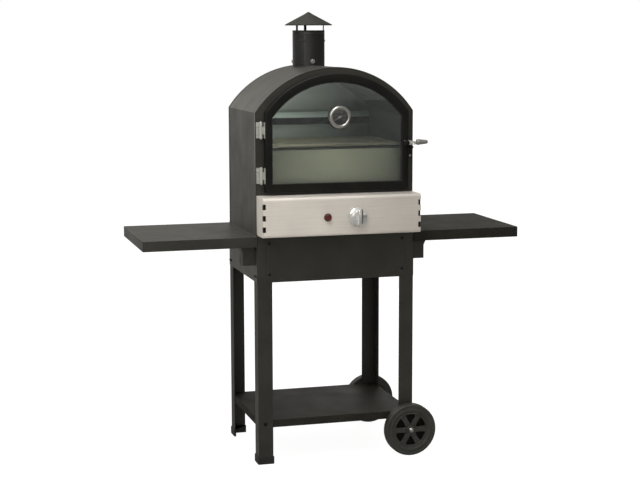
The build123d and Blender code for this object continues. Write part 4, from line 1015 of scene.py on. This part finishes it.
# ---- oven shell and hearth ------------------------------------------------
def make_roof_hems():
    """The folded edge at each end of the roof sheet, which has no run along the deck."""
    low, high = span("oven_wrap")
    for name, y0, y1 in (("roof_hem_front", low.y, low.y + 14), ("roof_hem_rear", high.y - 14, high.y)):
        fold = ((-1.4, y0 + 0.2), (0.2, y0), (0.9, y0 + 0.8), (0.9, y1 - 0.8), (0.2, y1), (-1.4, y1 - 0.2))
        rows = [[(x, y, z) for x, z in reversed(arch_line(ROOF, out, 96))] for out, y in fold]
        points, faces = grid(rows + rows[:1])
        kept = [face for face in faces if not all(points[i].z < ROOF["low"] + 3 for i in face)]
        piece(name, (points, kept), CHARCOAL, "oven", sharp=40)


def make_deflector_trim():
    """A heat-blued band on the lip under the roof, near black as painted shade under the lip, and the strip
    folded over the lip, whose brighter steel is a painted highlight on the lip's edge.
    """
    left, right = DOOR_X - 221.0, DOOR_X + 221.0
    y, top = DEFLECTOR_Y, DEFLECTOR_TOP_Z
    # The dark band is heat tint and painted shade under the lip; the strip's brighter steel is a painted
    # highlight.
    piece("deflector_painted_shade_band", brick((left, y - 0.9, top - 33), (right, y - 0.1, top - 9)), HEAT_TINT_SHADE, "oven",
          edge=0.3)
    section = [(-0.2, -9.0), (-1.2, -9.0), (-1.2, 9.4), (-0.2, 11.2), (1.6, 11.2), (1.6, 9.8), (0.2, 9.8),
               (-0.2, 9.0)]
    rows = [[(x, y + out, top + up) for out, up in section] for x in (left, right)]
    piece("deflector_strip_painted_highlight", grid(rows, ends=True), STRIP_HIGHLIGHT_STEEL, "oven", edge=0.25)


def make_panel_angles():
    """Black angles inside the panel's corners, seen through its end slots as painted shade inside the panel.
    """
    low, high = span("control_panel")
    gap = SHEET + 0.15
    angles = []
    for side in (-1, 1):
        x, y = side * (high.x - gap), low.y + gap
        plan = [(x, y), (x, y + 18), (x - side, y + 18), (x - side, y + 1), (x - 15 * side, y + 1),
                (x - 15 * side, y)]
        ends = (low.z + 11.5, high.z - 11.5)
        angles.append(grid([[(*corner, z) for corner in plan] for z in ends], ends=True))
    # Painted shade: the black angles keep the slots dark.
    piece("panel_corner_shade_angles", join(*angles), STOVE_BLACK, "oven", edge=0.2)


def make_fascia_trim():
    """Screws in the fascia under the stone, and a heat-blued hem along its top, dark as painted shadow
    that widens the gap under the stone.
    """
    y, top = span("flame_spreader")[0].y, span("flame_spreader")[1].z
    places = [("front", x, y, z) for x in (-205.0, 213.0) for z in (930.0, 1030.0)]
    heads("fascia_screws", socket_screw(3.4, 1.8), places, FASCIA_STEEL)
    # A dark strip along the fascia's top: heat tint and painted shadow.
    hem = brick((DOOR_X - 224.0, y - 0.7, top - 4.5), (DOOR_X + 224.0, y - 0.1, top - 0.4))
    piece("fascia_hem_painted_shadow", hem, HEAT_TINT_SHADE, "oven", edge=0.2)


def make_electrode():
    """Spark electrode with its ribbed ceramic."""
    low, high = span("igniter_electrode")
    place = middle("igniter_electrode")
    ribs = [(5, low.z), (5, low.z + 4)]
    for i in range(6):
        z = low.z + 6 + 4 * i
        ribs += [(3.8, z), (5, z + 1), (5, z + 2), (3.8, z + 3)]
    ribs += [(3.2, low.z + 31), (1.5, low.z + 32), (1.5, high.z - 1), (0.8, high.z), (0, high.z)]
    foot = brick((-12, -8, low.z), (12, 8, low.z + 1.8))
    piece("spark_electrode", moved(join(lathe(ribs, 40, "Z"), foot), by=(place.x, place.y, 0)), WOOL, "oven",
          ["igniter_electrode"], edge=0.3)


MADE_OVER = (  # how far a kind of edge is rounded, and the nodes made over with it
    (1.2, "leg_front_left", "leg_front_right", "leg_rear_left", "leg_rear_right"), (1.1, "foot_caps"),
    (0.5, "apron_front", "apron_rear", "apron_left", "apron_right", "bottom_shelf", "deck_plate",
     "shelf_left", "shelf_right", "brackets_left", "brackets_right"),
    (0.4, "oven_wrap", "front_surround", "back_panel"), (0.3, "chamber_liner", "chamber_floor"),
    (0.4, "flame_spreader"), (1.0, "baking_stone"), (0.4, "control_panel"), (0.3, "glass_retainer"),
    (0.6, "door_glass"), (0.2, "thermometer_lens"), (0.4, "thermometer_stem"), (0.6, "axle"),
    (0.3, "burner_tube"), (0.6, "burner_venturi", "gas_valve"), (0.4, "gas_jet"), (0.3, "push_collar"),
    (2.0, "insulation"))

make_camera()
make_world()
make_lamps()
make_floor()
for edge_width, *made_nodes in MADE_OVER:
    for made_node in made_nodes:
        refined(made_node, edge_width)
make_wheels()
make_axle_ends()
make_knob()
make_button()
make_thermometer()
make_door()
make_seal()
make_hinge_details()
make_latch()
make_flue()
make_rain_cap()
make_flue_fittings()
make_fasteners()
make_welds()
make_roof_hems()
make_deflector_trim()
make_panel_angles()
make_fascia_trim()
make_electrode()
